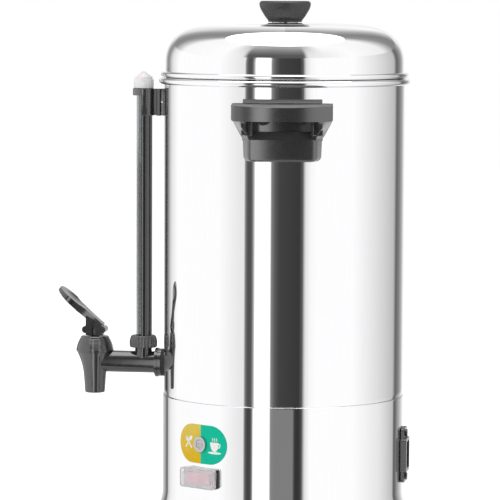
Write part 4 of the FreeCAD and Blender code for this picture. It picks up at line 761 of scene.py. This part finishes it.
def set_out(builder, turn):
    """Moves a piece from across, out and up in millimetres to its place at an angle from the tap."""
    sine, cosine = math.sin(turn), math.cos(turn)
    for vert in builder.verts:
        x, y, z = vert.co / 1000
        vert.co = (y * sine + x * cosine, axis_y + x * sine - y * cosine, z)
    bmesh.ops.recalc_face_normals(builder, faces=builder.faces[:])
    return builder


for name, side in (("left", -1), ("right", 1)):
    handle = mesh_object("scoop_" + name, set_out(scoop(), handle_turn * side), "urn")
    paint_piece(handle, satin_black)
    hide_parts("handle_" + name)
paint_nodes(bright_steel, "handle_screws")
paint_nodes(silicone, "handle_washers")

# The tap: a black moulded body with its arm, barrel and outlet in one, held by a back nut inside the
# pot. Its ribbed bonnet screws down on the barrel, and the dished lever tips forward on a pin.
tap_place = pot_radius + 67.0
bonnet_foot = seam + 34.4
bonnet_sides = [(2.8, 17.1), (4.1, 16.8), (6.0, 16.4), (7.8, 15.8), (9.6, 15.0), (11.4, 14.1), (12.6, 13.5)]


def between(pairs, value):
    """A value read from (place, value) pairs, straight between two neighbours."""
    for (start, first), (end, last) in zip(pairs, pairs[1:]):
        if value <= end:
            return first + (last - first) * (value - start) / (end - start)
    return pairs[-1][1]


def settled_at_axis(builder):
    """Moves a builder from millimetres about the urn's axis to metres in the frame."""
    for vert in builder.verts:
        vert.co = Vector((vert.co.x / 1000, axis_y + vert.co.y / 1000, vert.co.z / 1000))
    return softened(builder, 35)


rib_count, rib_pitch, groove = 8, 1.2, 0.25
ribs = []
for index in range(rib_count):
    rib_foot = bonnet_sides[0][0] + rib_pitch * index
    for up, depth in ((0.0, groove), (0.2, 0.0), (0.9, 0.0), (1.1, groove)):
        ribs.append((between(bonnet_sides, rib_foot + up) - depth, bonnet_foot + rib_foot + up))
bonnet = mesh_object("bonnet_ribbed", spun(profile(
    (12.1, bonnet_foot), (16.9, bonnet_foot), (17.3, bonnet_foot + 0.4), (17.3, bonnet_foot + 2.4),
    (17.1, bonnet_foot + 2.7), *ribs, (13.3, bonnet_foot + 12.5), (13.1, bonnet_foot + 13.3),
    (12.5, bonnet_foot + 14.1), (11.7, bonnet_foot + 14.5), (7.2, bonnet_foot + 14.5),
    (7.2, bonnet_foot + 11.4),
    (12.1, bonnet_foot + 11.4)), 128, -tap_place / 1000), "urn")
paint_piece(bonnet, gloss_black)
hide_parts("tap_bonnet")
paint_nodes(gloss_black, "tap_body", "tap_washer", "tap_lever", "lever_pin")
paint_nodes(satin_black, "tap_back_nut", "valve_stem")
paint_nodes(silicone, "valve_seal")

# the spring over the valve's plunger, a coil wound from the foot to the top of its box
spring_low, spring_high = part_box("valve_spring")
coil_radius, wire_radius, coil_turns, valve_travel = 6.2, 0.55, 6, 0.004
turn_steps = 20
rings = []
for index in range(coil_turns * turn_steps + 1):
    bearing = 2 * math.pi * index / turn_steps
    outwards = Vector((math.cos(bearing), math.sin(bearing), 0.0))
    share = index / (coil_turns * turn_steps)
    height = 1000 * (spring_low[2] * (1 - share) + spring_high[2] * share) + wire_radius * (1 - 2 * share)
    middle = outwards * coil_radius + Vector((0, -tap_place, height))
    rings.append([middle + wire_radius * (outwards * math.cos(a) + Vector((0, 0, math.sin(a))))
                  for a in [math.radians(60 * i) for i in range(6)]])
coil = bmesh.new()
lofted(coil, rings)
spring = mesh_object("spring_coil", settled_at_axis(coil), "urn")
paint_piece(spring, bright_steel)
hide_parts("valve_spring")
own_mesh(spring)

# The sight gauge: a glass tube that stands in a collar of the tap's arm, sealed by a ribbed nut. A
# moulded guard backs it, a bracket on the pot holds its top, and a soft white cap closes it.
gauge_axis = pot_radius + 21.2
bracket_top = rim - 11.4
bracket_low = bracket_top - 25.0
cap_low = bracket_top + 0.3
cap = mesh_object("cap_moulding", spun(profile(
    (6.8, cap_low), (8.8, cap_low), (9.1, cap_low + 0.3), (9.1, cap_low + 7.7), (8.8, cap_low + 8.0),
    (8.2, cap_low + 8.05), (8.1, cap_low + 8.3), (8.0, cap_low + 10.1), (7.7, cap_low + 10.5),
    (6.9, cap_low + 10.6), (6.7, cap_low + 10.8), (1.2, cap_low + 15.0), (0.5, cap_low + 15.2),
    (0.0, cap_low + 15.2),
    (0.0, cap_low + 8.0), (6.8, cap_low + 8.0)), 96, -gauge_axis / 1000, closed=False), "tube_cap")
paint_piece(cap, white_plastic)
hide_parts("gauge_cap")


def half_ring(inner, outer, z):
    """Points of half a ring about the tube's axis on the pot's side, level at a height."""
    turns = [math.pi * i / 16 for i in range(17)]
    return ([Vector((outer * math.cos(t), -gauge_axis + outer * math.sin(t), z)) for t in turns]
            + [Vector((inner * math.cos(t), -gauge_axis + inner * math.sin(t), z)) for t in reversed(turns)])


# the bracket: half a sleeve on the tube, a ring round its top, a web, a column and a foot
bracket = bmesh.new()
lofted(bracket, [half_ring(8.6, 9.3, bracket_low), half_ring(8.3, 9.7, bracket_low + 0.5),
                 half_ring(8.2, 9.7, bracket_low + 1.3), half_ring(8.2, 9.4, bracket_low + 1.9),
                 half_ring(8.2, 9.4, bracket_top - 5.5)])
ring_radius, tab_reach, tab_half = 9.4, 10.2, 4
rings = []
for down, inset in ((6.5, 0.5), (6.0, 0.0), (0.5, 0.0), (0.0, 0.5)):
    z, reach = bracket_top - down, ring_radius - inset
    tab = [Vector((x, -gauge_axis - tab_reach + inset + 0.08 * x ** 2, z))
           for x in (inset - tab_half, -2, 0, 2, tab_half - inset)]
    turns = [math.radians(-60 + 300 * i / 28) for i in range(29)]
    rings.append(tab + [Vector((reach * math.cos(t), -gauge_axis + reach * math.sin(t), z)) for t in turns])
lofted(bracket, rings)
slab(bracket, (-1.2, -gauge_axis + 8.8, bracket_low + 0.3), (1.2, -pot_radius + 0.1, bracket_top - 0.3), 0.4)
column_place, column_half, column_round = gauge_axis - 14.7, 3.6, 1.9
turns = [math.radians(-90 + 15 * i) for i in range(13)]
around_column = [(column_half + column_round * math.cos(t), -column_place + column_round * math.sin(t))
                 for t in turns]
around_column += [(-column_half - column_round * math.cos(t), -column_place - column_round * math.sin(t))
                  for t in turns]
lofted(bracket, [[Vector((x, y, z)) for x, y in around_column] for z in (bracket_low, bracket_top - 0.6)])
slab(bracket, (-6.0, -pot_radius - 2.6, bracket_low), (6.0, -pot_radius + 0.1, bracket_top), 0.6)
arm_piece = mesh_object("bracket_moulding", settled_at_axis(bracket), "urn")
paint_piece(arm_piece, satin_black)
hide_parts("gauge_bracket")

# the nut: a turned moulding whose side is drawn in between its ribs
arm_rise, collar_rise, nut_sunk = 25.4, 15.3, 1.5
nut_foot = seam + arm_rise + collar_rise - nut_sunk
nut_beats = (0.0, 0.0, 0.015, 0.05, 0.06, 0.05, 0.015, 0.0)
ribbed = spun(profile(
    (7.9, nut_foot), (11.7, nut_foot), (12.4, nut_foot + 0.5), (12.7, nut_foot + 1.4), (12.8, nut_foot + 3.0),
    (12.8, nut_foot + 5.0), (12.6, nut_foot + 6.6), (12.2, nut_foot + 8.4), (11.7, nut_foot + 9.9),
    (11.2, nut_foot + 10.6), (10.6, nut_foot + 11.0), (6.8, nut_foot + 11.0), (6.8, nut_foot + 4.3),
    (7.9, nut_foot + 4.3)), 192, -gauge_axis / 1000)
for vert in ribbed.verts:
    out = Vector((vert.co.x, vert.co.y - axis_y + gauge_axis / 1000))
    if out.length > 0.0115 and vert.co.z < (nut_foot + 10.4) / 1000:
        beat = round(math.atan2(out.y, out.x) / math.pi * 96) % len(nut_beats)
        out *= 1 - nut_beats[beat]
        vert.co.x, vert.co.y = out.x, out.y + axis_y - gauge_axis / 1000
nut = mesh_object("nut_ribbed", softened(ribbed, 35), "urn")
paint_piece(nut, satin_black)
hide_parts("gauge_nut")
paint_nodes(gloss_black, "gauge_guard")
paint_nodes(bright_steel, "bracket_screw")
paint_nodes(clear_tube, "gauge_tube")
paint_nodes(silicone, "gauge_seal")

# The percolator: a steel riser tube on a bell foot, with a collar for the perforated basket and its
# perforated cover, all drawn or pressed. They stand loose in the pot and are lifted out by hand.
paint_nodes(bright_steel, "pump_tube", "pump_collar", "basket", "basket_cover")

# The lid: a spun stainless dome with a raised flat for the knob, a rolled edge that rests on the
# pot's rim, and a flange that keeps it in place.
lid_top = rim + 49.6
flat_edge = 58.0
lid_side = 109.0
side_foot = rim + 12.0
crease = (lid_side, rim + 5.2)
edge_roll = 2.6
roll_place = (113.3 - edge_roll, rim + edge_roll)
roll_turn = math.degrees(math.acos((lid_side - roll_place[0]) / edge_roll))


def shoulder(low_radius, high_z, drop, count=40):
    """The dome's shoulder between the flat and the straight side, squarer than an ellipse."""
    points, squareness = [], 2.45
    for index in range(count + 1):
        bearing = math.pi / 2 * (1 - index / count)
        along, up = math.cos(bearing) ** (2 / squareness), math.sin(bearing) ** (2 / squareness)
        points.append((flat_edge + (low_radius - flat_edge) * along,
                       side_foot + (high_z - drop - side_foot) * up))
    return points


lid = mesh_object("lid_dome", spun(profile(
    (2.75, lid_top), (20, lid_top), (30, lid_top - 0.07), (38, lid_top - 0.22), (45, lid_top - 0.43),
    (50, lid_top - 0.62), (54, lid_top - 0.8), (56.8, lid_top - 0.94), (57.5, lid_top - 1.05),
    (flat_edge, lid_top - 1.3), *shoulder(lid_side, lid_top, 1.45)[1:],
    (lid_side, rim + 9), (lid_side, crease[1] + 0.6), (lid_side, crease[1] + 0.2),
    (*roll_place, edge_roll, roll_turn, -90, 20), (108.4, rim), (108.2, rim - 0.3), (108.2, rim - 1),
    (108.2, rim - 12), (107.4, rim - 12), (107.4, rim + edge_roll), (lid_side - sheet, rim + 2 * edge_roll),
    *reversed(shoulder(lid_side - sheet, lid_top, 2.25)), (flat_edge - 1.6, lid_top - 1.75),
    (30, lid_top - 0.9), (2.75, lid_top - sheet))), "lid")
paint_piece(lid, polished_steel)
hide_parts("lid_shell")

# The lid's knob: black moulded phenolic, shaped like a mushroom. It stands on a small steel washer
# and is held by a screw from inside the lid.
knob_foot = lid_top + 0.6
knob_top = knob_foot + 19.2
knob = mesh_object("knob_cap", spun(profile(
    (0.0, knob_foot), (15.1, knob_foot), (15.1, knob_foot + 0.3, 0.3, -90, 0, 3), (15.4, knob_foot + 0.9),
    (15.5, knob_foot + 1.3), (15.8, knob_foot + 1.8), (16.6, knob_foot + 2.8), (17.6, knob_foot + 4.0),
    (18.8, knob_foot + 5.7), (20.0, knob_foot + 7.7), (21.2, knob_foot + 9.7), (22.3, knob_foot + 11.7),
    (23.0, knob_foot + 13.6), (23.4, knob_foot + 15.2),
    (20.6, knob_top - 2.9, 2.9, 0, 80, 10), (17.0, knob_top - 0.02),
    (9.0, knob_top), (0.0, knob_top)), closed=False), "lid")
knob_finish = dressed("moulded phenolic", (0.035, 0.035, 0.036), 0.42, 0.0, (700, 700, 700),
                      0.12, 0.12, 0.04)
paint_piece(knob, knob_finish)
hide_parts("lid_knob")
paint_nodes(bright_steel, "knob_washer", "knob_screw")
